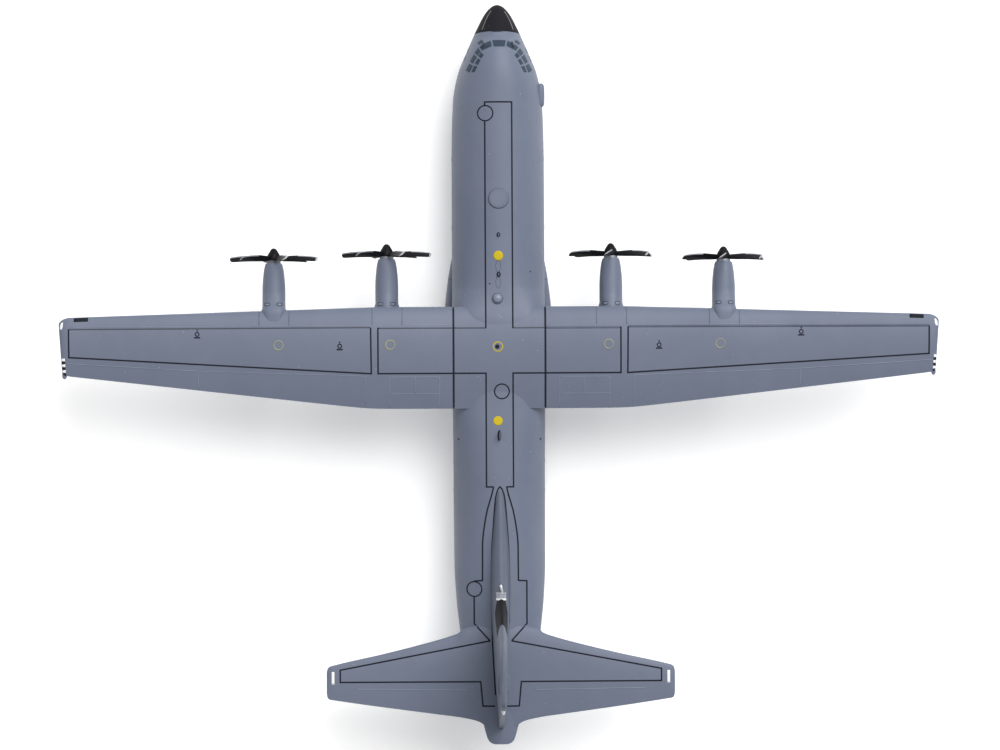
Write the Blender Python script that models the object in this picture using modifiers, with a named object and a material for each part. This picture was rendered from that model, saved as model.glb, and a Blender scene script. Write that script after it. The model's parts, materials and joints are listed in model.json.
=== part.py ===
"""Die-cast collector's model, at 1:200, of a four-engined turboprop military transport plane.

The nose points along +Y, the right wing along +X and up is +Z. The wheels stand on Z = 0, and the
origin is on the ground midway between the nose tip and the tail tip. Blender's units are metres.
"""
import math

import bmesh
import bpy
from mathutils import Matrix, Vector

MM = 0.001

# Overall driving dimensions, close to the real aircraft's divided by 200
LENGTH = 171.8 * MM
SPAN = 202.9 * MM
HEIGHT = 59.2 * MM
NOSE_Y = LENGTH / 2
TAIL_Y = -LENGTH / 2

# Fits between the pieces
SEAT_GAP = 0.05 * MM
RUNNING_GAP = 0.1 * MM
WING_ROOT_GAP = 0.25 * MM
MERGE = 0.001 * MM

# Fuselage barrel
BELLY_Z = 3.2 * MM
RADOME_LENGTH = 6.5 * MM
TAIL_CONE_Y = -78.0 * MM
BARREL_REAR_Y = -22.0 * MM
NOSE_CURVE_Y = 62.0 * MM
FUSELAGE_SIDES = 40

# Wing
WING_ROOT_X = 10.6 * MM
WING_KINK_X = 28.0 * MM
WING_TRAILING_KINK_X = 30.0 * MM
WING_KINK_BLEND = 3.0 * MM
WING_LEADING_Y = 15.4 * MM
WING_TRAILING_Y = -8.2 * MM
WING_TIP_X = SPAN / 2
WING_TIP_LEADING_Y = 13.15 * MM
WING_TIP_TRAILING_Y = -0.05 * MM
WING_TIP_SLANT = 0.8 * MM
WING_CORNER_LENGTH = 2.8 * MM
WING_CORNER_DEPTH = 1.6 * MM
WING_ROOT_Z = 21.9 * MM
WING_DIHEDRAL = math.radians(2.5)
WING_ROOT_THICKNESS = 0.18
WING_TIP_THICKNESS = 0.12
WING_CAMBER = 0.02
WING_EDGE = 0.32 * MM
TENON_LENGTH = 3.6 * MM
TENON_ROOT = 2.0 * MM
TENON_FRONT_Y = 11.0 * MM
TENON_REAR_Y = 1.0 * MM
TENON_BELOW = 0.7 * MM
TENON_ABOVE = 0.9 * MM

# Engines: the prop's plane, the spinner and the nacelle
ENGINE_X = (-52.1 * MM, -26.0 * MM, 26.0 * MM, 52.1 * MM)
OUTER_ENGINES = (0, 3)
INNER_ENGINE_Z = 19.3 * MM
OUTER_ENGINE_Z = 20.4 * MM
INNER_PROP_Y = 27.6 * MM
OUTER_PROP_Y = 26.7 * MM
PROP_RADIUS = 10.5 * MM
HUB_RADIUS = 1.55 * MM
HUB_BACK = 0.3 * MM
SPINNER_LENGTH = 2.45 * MM
SHAFT_RADIUS = 0.6 * MM
SHAFT_LENGTH = 3.0 * MM
SHAFT_END_GAP = 0.3 * MM
BLADES = 6
BLADE_POINTS = 6
PROP_PHASES = (-12.0, -8.0, 24.0, 25.0)

# Tailplane and fin
TAILPLANE_HALF_SPAN = 40.3 * MM
TAILPLANE_Z = 21.9 * MM

# Landing gear
NOSE_GEAR_Y = 69.9 * MM
NOSE_WHEEL_RADIUS = 2.48 * MM
NOSE_WHEEL_WIDTH = 1.5 * MM
NOSE_WHEEL_X = 1.55 * MM
NOSE_AXLE_RADIUS = 0.35 * MM
MAIN_GEAR_Y = 8.8 * MM
MAIN_WHEEL_PITCH = 7.7 * MM
MAIN_WHEEL_RADIUS = 3.55 * MM
MAIN_WHEEL_WIDTH = 2.1 * MM
MAIN_WHEEL_X = 10.75 * MM
MAIN_AXLE_RADIUS = 0.45 * MM
STRUT_X = 8.95 * MM
STRUT_RADIUS = 0.55 * MM
RIM_SHARE = 0.56
WHEEL_SIDES = 28
NOSE_AXLE_REACH = 3.0 * MM
NOSE_LEG_RADIUS = 0.62 * MM
NOSE_LEG_FOOT = 0.85 * MM
BRACE_RADIUS = 0.3 * MM
BRACE_RISE = 1.6 * MM
BRACE_BACK = 2.6 * MM
STRUT_FOOT = 0.7 * MM
STRUT_RISE = 3.9 * MM
STUB_REACH = 0.7 * MM
BRIDGE_HALF_WIDTH = 0.5 * MM
BRIDGE_LOW_Z = 6.5 * MM
BRIDGE_TOP_Z = 7.7 * MM
BELOW_GROUND = -2.0 * MM
NOSE_WELL_HALF_WIDTH = 3.0 * MM
NOSE_WELL_AHEAD = 4.2 * MM
NOSE_WELL_BEHIND = 3.6 * MM
NOSE_WELL_TOP = 7.6 * MM
MAIN_WELL_INNER_X = 8.1 * MM
MAIN_WELL_OUTER_X = 12.1 * MM
MAIN_WELL_CLEARANCE = 0.45 * MM
MAIN_WELL_TOP = 7.75 * MM
DOOR_THICKNESS = 0.3 * MM
DOOR_LOW_Z = 2.0 * MM
NOSE_DOOR_X = 2.65 * MM
NOSE_DOOR_AHEAD = 3.0 * MM
NOSE_DOOR_BEHIND = 3.4 * MM
NOSE_DOOR_TOP_Z = 5.6 * MM
MAIN_DOOR_X = 12.0 * MM
MAIN_DOOR_HALF_LENGTH = 7.2 * MM
MAIN_DOOR_TOP_Z = 4.35 * MM

# Jet pipes, behind and below the shaft: half-width and half-height against the distance back, in mm
EXHAUST_START = 22.5 * MM
EXHAUST_DROP = 2.0 * MM
EXHAUST_OUTSIDE = ((0.0, 1.35, 0.85), (1.6, 1.3, 0.8), (3.4, 1.05, 0.7))
EXHAUST_BORE = ((1.2, 0.95, 0.52), (4.4, 1.03, 0.6))

# Flat on the keel that a display stand's saddle bears on
SEAT_Y = 8.0 * MM
SEAT_LENGTH = 18.0 * MM
SEAT_HALF_WIDTH = 3.0 * MM
SEAT_Z = BELLY_Z + 0.12 * MM

# Small pieces along the crown
HATCH_Y = 40.4 * MM
HATCH_RADIUS = 2.3 * MM
HATCH_DEPTH = 1.2 * MM
HATCH_RISE = 0.3 * MM
BEACON_Y = 17.2 * MM
BEACON_RADIUS = 1.15 * MM
BEACON_DEPTH = 0.5 * MM
BEACON_RIM_RISE = 0.45 * MM
BEACON_DOME_RISE = 0.75 * MM
PITOT_RADIUS = 0.2 * MM
PITOT_ROOT = (3.75 * MM, 75.7 * MM, 20.25 * MM)
PITOT_FRONT = (3.3 * MM, 76.85 * MM, 20.0 * MM)
PITOT_LEAN = 0.3 * MM
PITOT_STEM = 1.6 * MM

# Blade antennas on the crown: name, place along Y, height and length in mm
ANTENNAS = (
    ("antenna_front", 32.0, 0.8, 1.0), ("antenna_middle", 22.8, 0.8, 1.0), ("antenna_rear", -14.4, 2.0, 2.3),
)
ANTENNA_HALF_WIDTH = 0.2 * MM
ANTENNA_DEPTH = 0.8 * MM

# Collar and probe on the fin's leading edge, and the blisters and lamp near its tip
PROBE_Z = 31.0 * MM
PROBE_COLLAR_Y = (-52.1 * MM, -50.25 * MM)
PROBE_COLLAR_RADIUS = 1.2 * MM
PROBE_ROD_Y = (-51.0 * MM, -48.5 * MM)
PROBE_ROD_RADIUS = 0.3 * MM
BLISTER_PLACE = (0.75 * MM, -69.4 * MM, 56.0 * MM)
BLISTER_HALF_SIZES = (0.75 * MM, 2.6 * MM, 0.7 * MM)
TAIL_LAMP_PLACE = (0.0, -75.6 * MM, 55.0 * MM)
TAIL_LAMP_HALF_SIZES = (0.4 * MM, 0.9 * MM, 0.5 * MM)

# Fairing on the right side of the barrel
FAIRING_X = 10.0 * MM
FAIRING_Z = 14.0 * MM
FAIRING_HALF_WIDTH = 0.95 * MM
FAIRING_HALF_HEIGHT = 1.5 * MM
FAIRING_FRONT_Y = 67.1 * MM
FAIRING_REAR_Y = 61.8 * MM


def clear_scene():
    for obj in list(bpy.data.objects):
        bpy.data.objects.remove(obj)


def new_collection(name):
    collection = bpy.data.collections.new(name)
    bpy.context.scene.collection.children.link(collection)
    return collection


def new_material(name, colour, roughness, metallic=0.0):
    material = bpy.data.materials.new(name)
    material.use_nodes = True
    shader = material.node_tree.nodes["Principled BSDF"]
    shader.inputs["Base Color"].default_value = (*colour, 1.0)
    shader.inputs["Roughness"].default_value = roughness
    shader.inputs["Metallic"].default_value = metallic
    return material


def smooth(points):
    """A function that runs through (place, value) points, given in mm, with no overshoot."""
    places = [p[0] * MM for p in points]
    values = [p[1] * MM for p in points]
    steps = [b - a for a, b in zip(places, places[1:])]
    rises = [(b - a) / h for a, b, h in zip(values, values[1:], steps)]
    slopes = [rises[0]]
    for before, after in zip(rises, rises[1:]):
        same_way = before * after > 0
        slopes.append(2 * before * after / (before + after) if same_way else 0.0)
    slopes.append(rises[-1])

    def value_at(place):
        if place <= places[0]:
            return values[0]
        if place >= places[-1]:
            return values[-1]
        i = max(k for k, p in enumerate(places) if p <= place)
        h = steps[i]
        t = (place - places[i]) / h
        return (
            values[i] * (1 + 2 * t) * (1 - t) ** 2
            + slopes[i] * h * t * (1 - t) ** 2
            + values[i + 1] * t * t * (3 - 2 * t)
            + slopes[i + 1] * h * t * t * (t - 1)
        )

    return value_at


def link(obj, collection, material=None):
    collection.objects.link(obj)
    if material:
        obj.data.materials.append(material)
    return obj


def object_from(bm, name, collection, material=None, sharp=math.radians(35)):
    """A mesh object made from bm, its faces pointing out and its round faces shaded smooth."""
    bmesh.ops.recalc_face_normals(bm, faces=bm.faces[:])
    mesh = bpy.data.meshes.new(name)
    bm.to_mesh(mesh)
    bm.free()
    mesh.shade_smooth()
    mesh.set_sharp_from_angle(angle=sharp)
    return link(bpy.data.objects.new(name, mesh), collection, material)


def loft(rings):
    """A closed bmesh through rings of points, each ring with the same count, its ends flat or pointed."""
    bm = bmesh.new()
    loops = []
    for ring in rings:
        if len(ring) == 1:
            loops.append([bm.verts.new(ring[0])] * len(rings[1]))
        else:
            loops.append([bm.verts.new(p) for p in ring])
    for one, other in zip(loops, loops[1:]):
        for i in range(len(one)):
            j = (i + 1) % len(one)
            corners = []
            for vert in (one[i], one[j], other[j], other[i]):
                if vert not in corners:
                    corners.append(vert)
            bm.faces.new(corners)
    for end in (loops[0], loops[-1]):
        if end[0] is not end[1]:
            bm.faces.new(end)
    return bm


def turned(bm, place):
    """bm moved and turned by a matrix, for a piece that is made at the origin."""
    bmesh.ops.transform(bm, matrix=place, verts=bm.verts[:])
    return bm


def cylinder_between(start, end, radius, sides=24):
    """A closed cylinder between two points."""
    start, end = Vector(start), Vector(end)
    along = end - start
    bm = bmesh.new()
    bmesh.ops.create_cone(
        bm, cap_ends=True, segments=sides, radius1=radius, radius2=radius, depth=along.length
    )
    turn = along.to_track_quat("Z", "Y").to_matrix().to_4x4()
    return turned(bm, Matrix.Translation((start + end) / 2) @ turn)


def box_between(low, high):
    low, high = Vector(low), Vector(high)
    bm = bmesh.new()
    bmesh.ops.create_cube(bm, size=1.0)
    size = Matrix.Diagonal((*(high - low), 1.0))
    return turned(bm, Matrix.Translation((low + high) / 2) @ size)


def boolean(target, other, operation):
    """Cuts, joins or keeps with a live Boolean; the other object becomes a hidden helper."""
    other.hide_render = True
    other.display_type = "WIRE"
    modifier = target.modifiers.new(f"{operation.lower()} {other.name}", "BOOLEAN")
    modifier.operation = operation
    modifier.object = other


def superellipse(centre, half_width, above, below, power_above, power_below, y, sides):
    """A ring in the XZ plane at y, round above and flatter below its widest height."""
    ring = []
    for i in range(sides):
        angle = 2 * math.pi * i / sides
        c, s = math.cos(angle), math.sin(angle)
        power = power_above if s >= 0 else power_below
        height = above if s >= 0 else below
        x = half_width * math.copysign(abs(c) ** (2 / power), c)
        z = height * math.copysign(abs(s) ** (2 / power), s)
        ring.append(Vector((centre[0] + x, y, centre[1] + z)))
    return ring


# The fuselage's half-width, crown, belly and widest height, each against Y in mm
fuselage_half_width = smooth([
    (-85.9, 1.5), (-85.6, 2.3), (-84.8, 3.05), (-83.3, 3.55), (-81.3, 4.1), (-78.0, 5.3),
    (-70.0, 7.6), (-64.0, 8.8), (-59.5, 9.4), (-52.0, 10.2), (-44.0, 10.6), (-20.0, 10.7),
    (0.0, 10.8), (48.0, 10.8), (56.0, 10.7), (62.5, 10.45), (66.0, 10.05), (68.3, 9.6),
    (70.7, 8.95), (73.0, 8.0), (75.4, 6.95), (77.7, 5.95), (80.0, 4.9), (81.2, 4.3),
    (82.4, 3.7), (83.6, 3.0), (84.7, 2.15), (85.4, 1.4), (85.75, 0.8), (85.9, 0.3),
])
fuselage_crown = smooth([
    (-85.9, 22.05), (-83.0, 22.45), (-75.0, 22.8), (-60.0, 23.0), (60.0, 23.0), (66.0, 22.95),
    (70.0, 22.75), (73.0, 22.3), (75.2, 21.6), (77.0, 20.3), (78.0, 19.3), (80.2, 18.3),
    (82.4, 17.2), (84.0, 16.1), (85.2, 14.9), (85.75, 14.1), (85.9, 13.6),
])
fuselage_belly = smooth([
    (-85.9, 21.4), (-84.0, 20.7), (-78.0, 19.1), (-70.0, 16.8), (-60.0, 13.5), (-50.0, 9.9),
    (-40.0, 6.3), (-34.0, 4.4), (-28.0, 3.4), (-22.0, 3.2), (60.0, 3.2), (66.0, 3.4),
    (70.0, 3.85), (74.0, 4.8), (78.0, 6.3), (80.2, 7.5), (82.4, 8.9), (84.0, 10.2),
    (85.2, 11.7), (85.75, 12.6), (85.9, 13.1),
])
fuselage_widest = smooth([
    (-85.9, 21.75), (-80.0, 21.0), (-70.0, 19.4), (-60.0, 17.2), (-50.0, 15.0), (-40.0, 13.2),
    (-30.0, 12.3), (-22.0, 12.2), (66.0, 12.2), (74.0, 12.5), (80.2, 13.0), (85.9, 13.35),
])


def fuselage_ring(y, grow=0.0, sides=FUSELAGE_SIDES):
    widest = fuselage_widest(y)
    below_power = 2.0 + 0.4 * min(1.0, max(0.0, (y + 50 * MM) / (30 * MM)))
    return superellipse(
        (0.0, widest),
        fuselage_half_width(y) + grow,
        fuselage_crown(y) - widest + grow,
        widest - fuselage_belly(y) + grow,
        2.0,
        below_power,
        y,
        sides,
    )


def spaced(start, end, count):
    return [start + (end - start) * i / (count - 1) for i in range(count)]


def fuselage_stations(front):
    """Stations close together where the tail tip, the tail cone and the nose curve."""
    tail = [TAIL_Y + step * MM for step in (0.0, 0.3, 1.1, 2.6, 4.6)]
    rear = spaced(TAIL_CONE_Y, BARREL_REAR_Y, 13)
    barrel = spaced(-2 * MM, 58 * MM, 4)
    nose = spaced(NOSE_CURVE_Y, front, 11)
    return tail + rear + barrel + nose


def fuselage_body(front, grow=0.0):
    return loft([fuselage_ring(y, grow) for y in fuselage_stations(front)])


def wing_plan(x):
    """Leading edge, trailing edge, middle height and thickness ratio of the wing at a distance x out."""
    out = max(0.0, x - WING_KINK_X) / (WING_TIP_X - WING_KINK_X)
    leading = WING_LEADING_Y + out * (WING_TIP_LEADING_Y - WING_LEADING_Y)
    corner = max(0.0, x - (WING_TIP_X - WING_CORNER_LENGTH)) / WING_CORNER_LENGTH
    leading -= WING_CORNER_DEPTH * (1 - math.sqrt(max(0.0, 1 - corner * corner)))
    taper = (WING_TIP_TRAILING_Y - WING_TRAILING_Y) / (WING_TIP_X - WING_TRAILING_KINK_X)
    past = x - WING_TRAILING_KINK_X
    bend = (past + math.sqrt(past * past + WING_KINK_BLEND**2)) / 2
    trailing = WING_TRAILING_Y + taper * bend
    height = WING_ROOT_Z + max(0.0, x - WING_ROOT_X) * math.tan(WING_DIHEDRAL)
    thickness = WING_ROOT_THICKNESS + out * (WING_TIP_THICKNESS - WING_ROOT_THICKNESS)
    return leading, trailing, height, thickness


def aerofoil(leading, trailing, half_edge, thickness, camber, points=11):
    """(y, height) points round an aerofoil, from the trailing edge over the top and back below."""
    chord = leading - trailing
    upper, lower = [], []
    for i in range(points):
        back = (1 + math.cos(math.pi * i / (points - 1))) / 2
        half = 5 * thickness * (
            0.2969 * math.sqrt(back) - 0.126 * back - 0.3516 * back**2 + 0.2843 * back**3 - 0.1036 * back**4
        )
        half = max(half * chord, 0.0) + half_edge * back
        mean = camber * 4 * back * (1 - back) * chord
        y = leading - back * chord
        upper.append((y, mean + half))
        lower.append((y, mean - half))
    return upper + lower[-2::-1]


def wing_ring(x, side, grow=0.0, slant=0.0, thin=1.0):
    leading, trailing, height, thickness = wing_plan(abs(x))
    leading += 2 * grow
    trailing -= grow
    outline = aerofoil(leading, trailing, WING_EDGE / 2, thickness * thin, WING_CAMBER)
    ring = []
    for y, rise in outline:
        shift = slant * (leading - y) / (leading - trailing)
        out = grow * (1 if rise >= 0 else -1)
        ring.append(Vector((side * (abs(x) - shift), y, height + rise + out)))
    return ring


def wing_panel(side, start, grow=0.0):
    """One wing, from its root at start to its rounded tip, with stations close together at the kink."""
    bays = [start] + [out * MM for out in (19.0, 26.5, 30.0, 34.0, 50.0, 66.0, 82.0, 96.0)]
    rings = [wing_ring(x, side, grow) for x in bays]
    for inward, slant, thin in ((2.8, 0.3, 1.0), (1.4, 0.7, 0.94), (0.4, 0.9, 0.7), (0.0, 1.0, 0.4)):
        rings.append(wing_ring(WING_TIP_X - inward * MM, side, grow, slant * WING_TIP_SLANT, thin))
    return loft(rings)


def make_fuselage(parts, helpers, paint):
    """The cast fuselage with the wing's centre section, its tenon sockets and the nose wheel well."""
    fuselage = object_from(fuselage_body(NOSE_Y - RADOME_LENGTH), "fuselage", parts, paint)
    half = WING_ROOT_X - WING_ROOT_GAP / 2
    centre = object_from(
        loft([wing_ring(half, 1), wing_ring(half, -1)]), "centre_section", helpers
    )
    boolean(fuselage, centre, "UNION")
    for side, name in ((-1, "left"), (1, "right")):
        socket = object_from(
            box_between(*tenon_box(side, RUNNING_GAP)), f"socket_{name}", helpers
        )
        boolean(fuselage, socket, "DIFFERENCE")
    well = object_from(
        box_between(
            (-NOSE_WELL_HALF_WIDTH, NOSE_GEAR_Y - NOSE_WELL_BEHIND, BELOW_GROUND),
            (NOSE_WELL_HALF_WIDTH, NOSE_GEAR_Y + NOSE_WELL_AHEAD, NOSE_WELL_TOP),
        ),
        "nose_well",
        helpers,
    )
    boolean(fuselage, well, "DIFFERENCE")
    seat = object_from(
        box_between(
            (-SEAT_HALF_WIDTH, SEAT_Y - SEAT_LENGTH / 2, 0),
            (SEAT_HALF_WIDTH, SEAT_Y + SEAT_LENGTH / 2, SEAT_Z),
        ),
        "stand_seat",
        helpers,
    )
    boolean(fuselage, seat, "DIFFERENCE")
    return fuselage


def tenon_box(side, clearance):
    """The low and high corner of a wing's tenon, or of its socket with a clearance round it."""
    inner = side * (WING_ROOT_X - TENON_LENGTH - clearance)
    outer = side * (WING_ROOT_X + TENON_ROOT)
    low = Vector((min(inner, outer), TENON_REAR_Y - clearance, WING_ROOT_Z - TENON_BELOW - clearance))
    high = Vector((max(inner, outer), TENON_FRONT_Y + clearance, WING_ROOT_Z + TENON_ABOVE + clearance))
    return low, high


def make_radome(parts, paint):
    front = NOSE_Y - RADOME_LENGTH + SEAT_GAP
    stations = [NOSE_Y - step * MM for step in (0.0, 0.15, 0.5, 1.1, 2.0, 3.2, 4.9)] + [front]
    return object_from(loft([fuselage_ring(y) for y in stations]), "radome", parts, paint)


def make_wing(side, name, parts, helpers, paint):
    wing = object_from(wing_panel(side, WING_ROOT_X + WING_ROOT_GAP / 2), f"wing_{name}", parts, paint)
    tenon = object_from(box_between(*tenon_box(side, 0.0)), f"tenon_{name}", helpers)
    boolean(wing, tenon, "UNION")
    return wing


# Sponson: outer edge and half-height against Y in mm, round the middle of its section
sponson_outer = smooth([
    (-22.0, 10.2), (-19.5, 10.85), (-16.0, 11.15), (-12.0, 11.25), (-8.0, 11.7), (-3.0, 12.4),
    (2.0, 12.6), (14.0, 12.55), (18.0, 12.2), (22.0, 11.7), (26.0, 11.0), (29.0, 10.2),
])
sponson_half_height = smooth([
    (-22.0, 0.8), (-16.0, 2.0), (-8.0, 3.3), (0.0, 3.85), (16.0, 3.85), (22.0, 3.3), (29.0, 0.8),
])
SPONSON_REAR_Y = -22.0 * MM
SPONSON_FRONT_Y = 29.0 * MM
SPONSON_X = 7.6 * MM
SPONSON_Z = 6.9 * MM


def make_main_well(side, name, helpers):
    low_x, high_x = sorted((side * MAIN_WELL_INNER_X, side * MAIN_WELL_OUTER_X))
    reach = MAIN_WHEEL_PITCH / 2 + MAIN_WHEEL_RADIUS + MAIN_WELL_CLEARANCE
    low = (low_x, MAIN_GEAR_Y - reach, BELOW_GROUND)
    high = (high_x, MAIN_GEAR_Y + reach, MAIN_WELL_TOP)
    return object_from(box_between(low, high), f"main_well_{name}", helpers)


def make_sponson(side, name, body, well, parts, paint):
    """The main gear fairing on the barrel's side, open below for the two wheels in line."""
    rings = []
    for y in spaced(SPONSON_REAR_Y, SPONSON_FRONT_Y, 18):
        half_width = sponson_outer(y) - SPONSON_X
        half_height = sponson_half_height(y)
        centre = (side * SPONSON_X, SPONSON_Z)
        rings.append(superellipse(centre, half_width, half_height, half_height, 2.6, 2.8, y, 20))
    sponson = object_from(loft(rings), f"sponson_{name}", parts, paint)
    boolean(sponson, body, "DIFFERENCE")
    boolean(sponson, well, "DIFFERENCE")
    return sponson


# Nacelle against the distance behind its front face, in mm: half-width, and rise and drop from the shaft
nacelle_half_width = smooth([
    (0.0, 1.55), (0.6, 1.7), (0.8, 1.9), (1.3, 2.08), (2.2, 2.28), (3.4, 2.48), (5.0, 2.65), (7.0, 2.75),
    (14.0, 2.75), (20.0, 2.5), (25.0, 1.9), (28.0, 1.4),
])
nacelle_rise = smooth([
    (0.0, 1.55), (0.6, 1.7), (0.8, 1.9), (1.6, 2.15), (3.6, 2.6), (7.5, 3.1), (11.5, 3.55), (28.0, 3.6),
])
nacelle_drop = smooth([
    (0.0, 1.55), (0.3, 2.0), (0.55, 2.65), (0.8, 3.15), (1.2, 3.6), (2.0, 4.0), (4.0, 4.3), (9.0, 4.35),
    (15.0, 3.6), (21.0, 2.1), (28.0, 0.2),
])
# An outer nacelle swells up to a saddle that ends in a rounded point on top of the wing
saddle_swell = smooth([
    (7.5, 0.0), (9.5, 0.25), (11.0, 1.0), (12.0, 1.38), (12.8, 1.33), (13.5, 1.05), (14.1, 0.9), (16.0, 0.4),
    (18.0, 0.0),
])
saddle_power = smooth([(7.5, 2.1), (11.5, 4.0)])
NACELLE_POWER = 2.1
CHIN_POWER = 2.2
NACELLE_STATIONS = (
    0.0, 0.3, 0.6, 0.85, 1.3, 2.2, 4.0, 7.5, 9.5, 11.0, 12.0, 12.8, 13.5, 14.1, 16.0, 21.5
)
NACELLE_SET_BACK = 0.1 * MM
SADDLE_END = 14.4 * MM
SADDLE_CUT_RISE = 0.8 * MM
NACELLE_LENGTH = 27.6 * MM
CUT_REACH = 5.0 * MM
CUT_AHEAD = 1.0 * MM
INTAKE_DROP = 2.55 * MM
INTAKE_HALF_WIDTH = 1.25 * MM
INTAKE_HALF_HEIGHT = 0.5 * MM
INTAKE_LIP_BACK = 1.2 * MM
INTAKE_END_BACK = 2.3 * MM


def prop_place(index):
    outer = index in OUTER_ENGINES
    y = OUTER_PROP_Y if outer else INNER_PROP_Y
    return Vector((ENGINE_X[index], y, OUTER_ENGINE_Z if outer else INNER_ENGINE_Z))


def nacelle_front(index):
    return prop_place(index).y - HUB_BACK - NACELLE_SET_BACK


def nacelle_body(index, grow=0.0):
    shaft = prop_place(index)
    rings = []
    for back in [station * MM for station in NACELLE_STATIONS] + [NACELLE_LENGTH]:
        rise = nacelle_rise(back)
        power = NACELLE_POWER
        if index in OUTER_ENGINES:
            rise += saddle_swell(back)
            power = saddle_power(back) / MM
        rings.append(
            superellipse(
                (shaft.x, shaft.z), nacelle_half_width(back) + grow, rise + grow,
                nacelle_drop(back) + grow, power, CHIN_POWER, nacelle_front(index) - back, 24,
            )
        )
    return loft(rings)


def make_nacelle(index, parts, helpers, paint):
    """One engine nacelle, fitted round the wing, with its shaft bore and its chin intake."""
    number = index + 1
    shaft = prop_place(index)
    front = nacelle_front(index)
    nacelle = object_from(nacelle_body(index), f"nacelle_{number}", parts, paint)
    side = 1 if shaft.x > 0 else -1
    wing = object_from(
        wing_panel(side, WING_ROOT_X + WING_ROOT_GAP / 2, SEAT_GAP), f"wing_for_nacelle_{number}", helpers
    )
    boolean(nacelle, wing, "DIFFERENCE")
    above = object_from(
        box_between(
            (shaft.x - CUT_REACH, front - NACELLE_LENGTH - CUT_REACH, shaft.z + SADDLE_CUT_RISE),
            (shaft.x + CUT_REACH, front - SADDLE_END, shaft.z + 2 * CUT_REACH),
        ),
        f"above_wing_{number}",
        helpers,
    )
    boolean(nacelle, above, "DIFFERENCE")
    bore = object_from(
        cylinder_between(
            (shaft.x, front + CUT_AHEAD, shaft.z),
            (shaft.x, front - SHAFT_LENGTH, shaft.z),
            SHAFT_RADIUS + RUNNING_GAP,
        ),
        f"bore_{number}",
        helpers,
    )
    boolean(nacelle, bore, "DIFFERENCE")
    intake = object_from(
        loft([
            superellipse((shaft.x, shaft.z - INTAKE_DROP), w, h, h, 2.0, 2.0, y, 16)
            for w, h, y in (
                (INTAKE_HALF_WIDTH, INTAKE_HALF_HEIGHT, front + CUT_AHEAD),
                (INTAKE_HALF_WIDTH, INTAKE_HALF_HEIGHT, front - INTAKE_LIP_BACK),
                (INTAKE_HALF_WIDTH * 0.8, INTAKE_HALF_HEIGHT * 0.7, front - INTAKE_END_BACK),
            )
        ]),
        f"intake_{number}",
        helpers,
    )
    boolean(nacelle, intake, "DIFFERENCE")
    return nacelle


# Propeller blade against radius, in mm: chord, and the sweep of its middle; the pitch is in degrees
blade_chord = smooth([
    (1.0, 0.85), (1.8, 0.95), (3.0, 1.45), (5.0, 1.85), (7.0, 1.9), (8.6, 1.75), (9.6, 1.5), (10.2, 1.05),
    (10.5, 0.45),
])
blade_sweep = smooth([
    (1.0, 0.0), (3.0, 0.05), (6.0, 0.2), (8.0, 0.1), (9.5, -0.15), (10.2, -0.35), (10.5, -0.6),
])
BLADE_ROOT_PITCH = math.radians(58)
BLADE_TIP_PITCH = math.radians(34)
BLADE_ROOT_THICKNESS = 0.44 * MM
BLADE_TIP_THICKNESS = 0.24 * MM
BLADE_STATIONS = (1.0, 2.4, 4.2, 6.4, 8.6, 9.8)


def blade_ring(radius):
    """A lens-shaped section of a blade that points along +X, its shaft along Y.

    The props turn clockwise seen from behind, so this blade's leading edge is ahead and below.
    """
    share = radius / PROP_RADIUS
    pitch = BLADE_ROOT_PITCH + share * (BLADE_TIP_PITCH - BLADE_ROOT_PITCH)
    chord = blade_chord(radius)
    thickness = BLADE_ROOT_THICKNESS + share * (BLADE_TIP_THICKNESS - BLADE_ROOT_THICKNESS)
    ring = []
    for i in range(BLADE_POINTS):
        angle = 2 * math.pi * i / BLADE_POINTS
        along = blade_sweep(radius) + chord / 2 * math.cos(angle)
        across = thickness / 2 * math.sin(angle)
        y = along * math.sin(pitch) + across * math.cos(pitch)
        z = across * math.sin(pitch) - along * math.cos(pitch)
        ring.append(Vector((radius, y, z)))
    return ring


def make_blades():
    """Six separate blades in one bmesh, to be joined to a hub."""
    radii = [r * MM for r in BLADE_STATIONS] + [PROP_RADIUS]
    bm = loft([blade_ring(r) for r in radii])
    first = bm.verts[:] + bm.edges[:] + bm.faces[:]
    for i in range(1, BLADES):
        copy = bmesh.ops.duplicate(bm, geom=first)["geom"]
        verts = [v for v in copy if isinstance(v, bmesh.types.BMVert)]
        turn = Matrix.Rotation(2 * math.pi * i / BLADES, 3, "Y")
        bmesh.ops.rotate(bm, cent=(0, 0, 0), matrix=turn, verts=verts)
    return bm


def turned_profile(name, points, collection, material=None, sides=20):
    """A solid turned round the Z axis from (radius, height) points, top to bottom, by a Screw modifier."""
    profile = bmesh.new()
    verts = [profile.verts.new((radius, 0, height)) for radius, height in points]
    for a, b in zip(verts, verts[1:]):
        profile.edges.new((a, b))
    mesh = bpy.data.meshes.new(name)
    profile.to_mesh(mesh)
    profile.free()
    turned_object = link(bpy.data.objects.new(name, mesh), collection, material)
    screw = turned_object.modifiers.new("turned", "SCREW")
    screw.steps = screw.render_steps = sides
    screw.use_merge_vertices = True
    screw.merge_threshold = MERGE
    screw.use_smooth_shade = True
    return turned_object


# The spinner's radius against the distance behind its tip, in mm, and where its outline has corners
spinner_radius = smooth([
    (0.0, 0.0), (0.06, 0.32), (0.22, 0.56), (0.46, 0.76), (0.85, 1.0), (1.2, 1.18), (1.6, 1.35), (2.0, 1.47),
    (2.45, 1.55),
])
SPINNER_STATIONS = (0.0, 0.08, 0.25, 0.55, 0.95, 1.45, 1.95)


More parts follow.
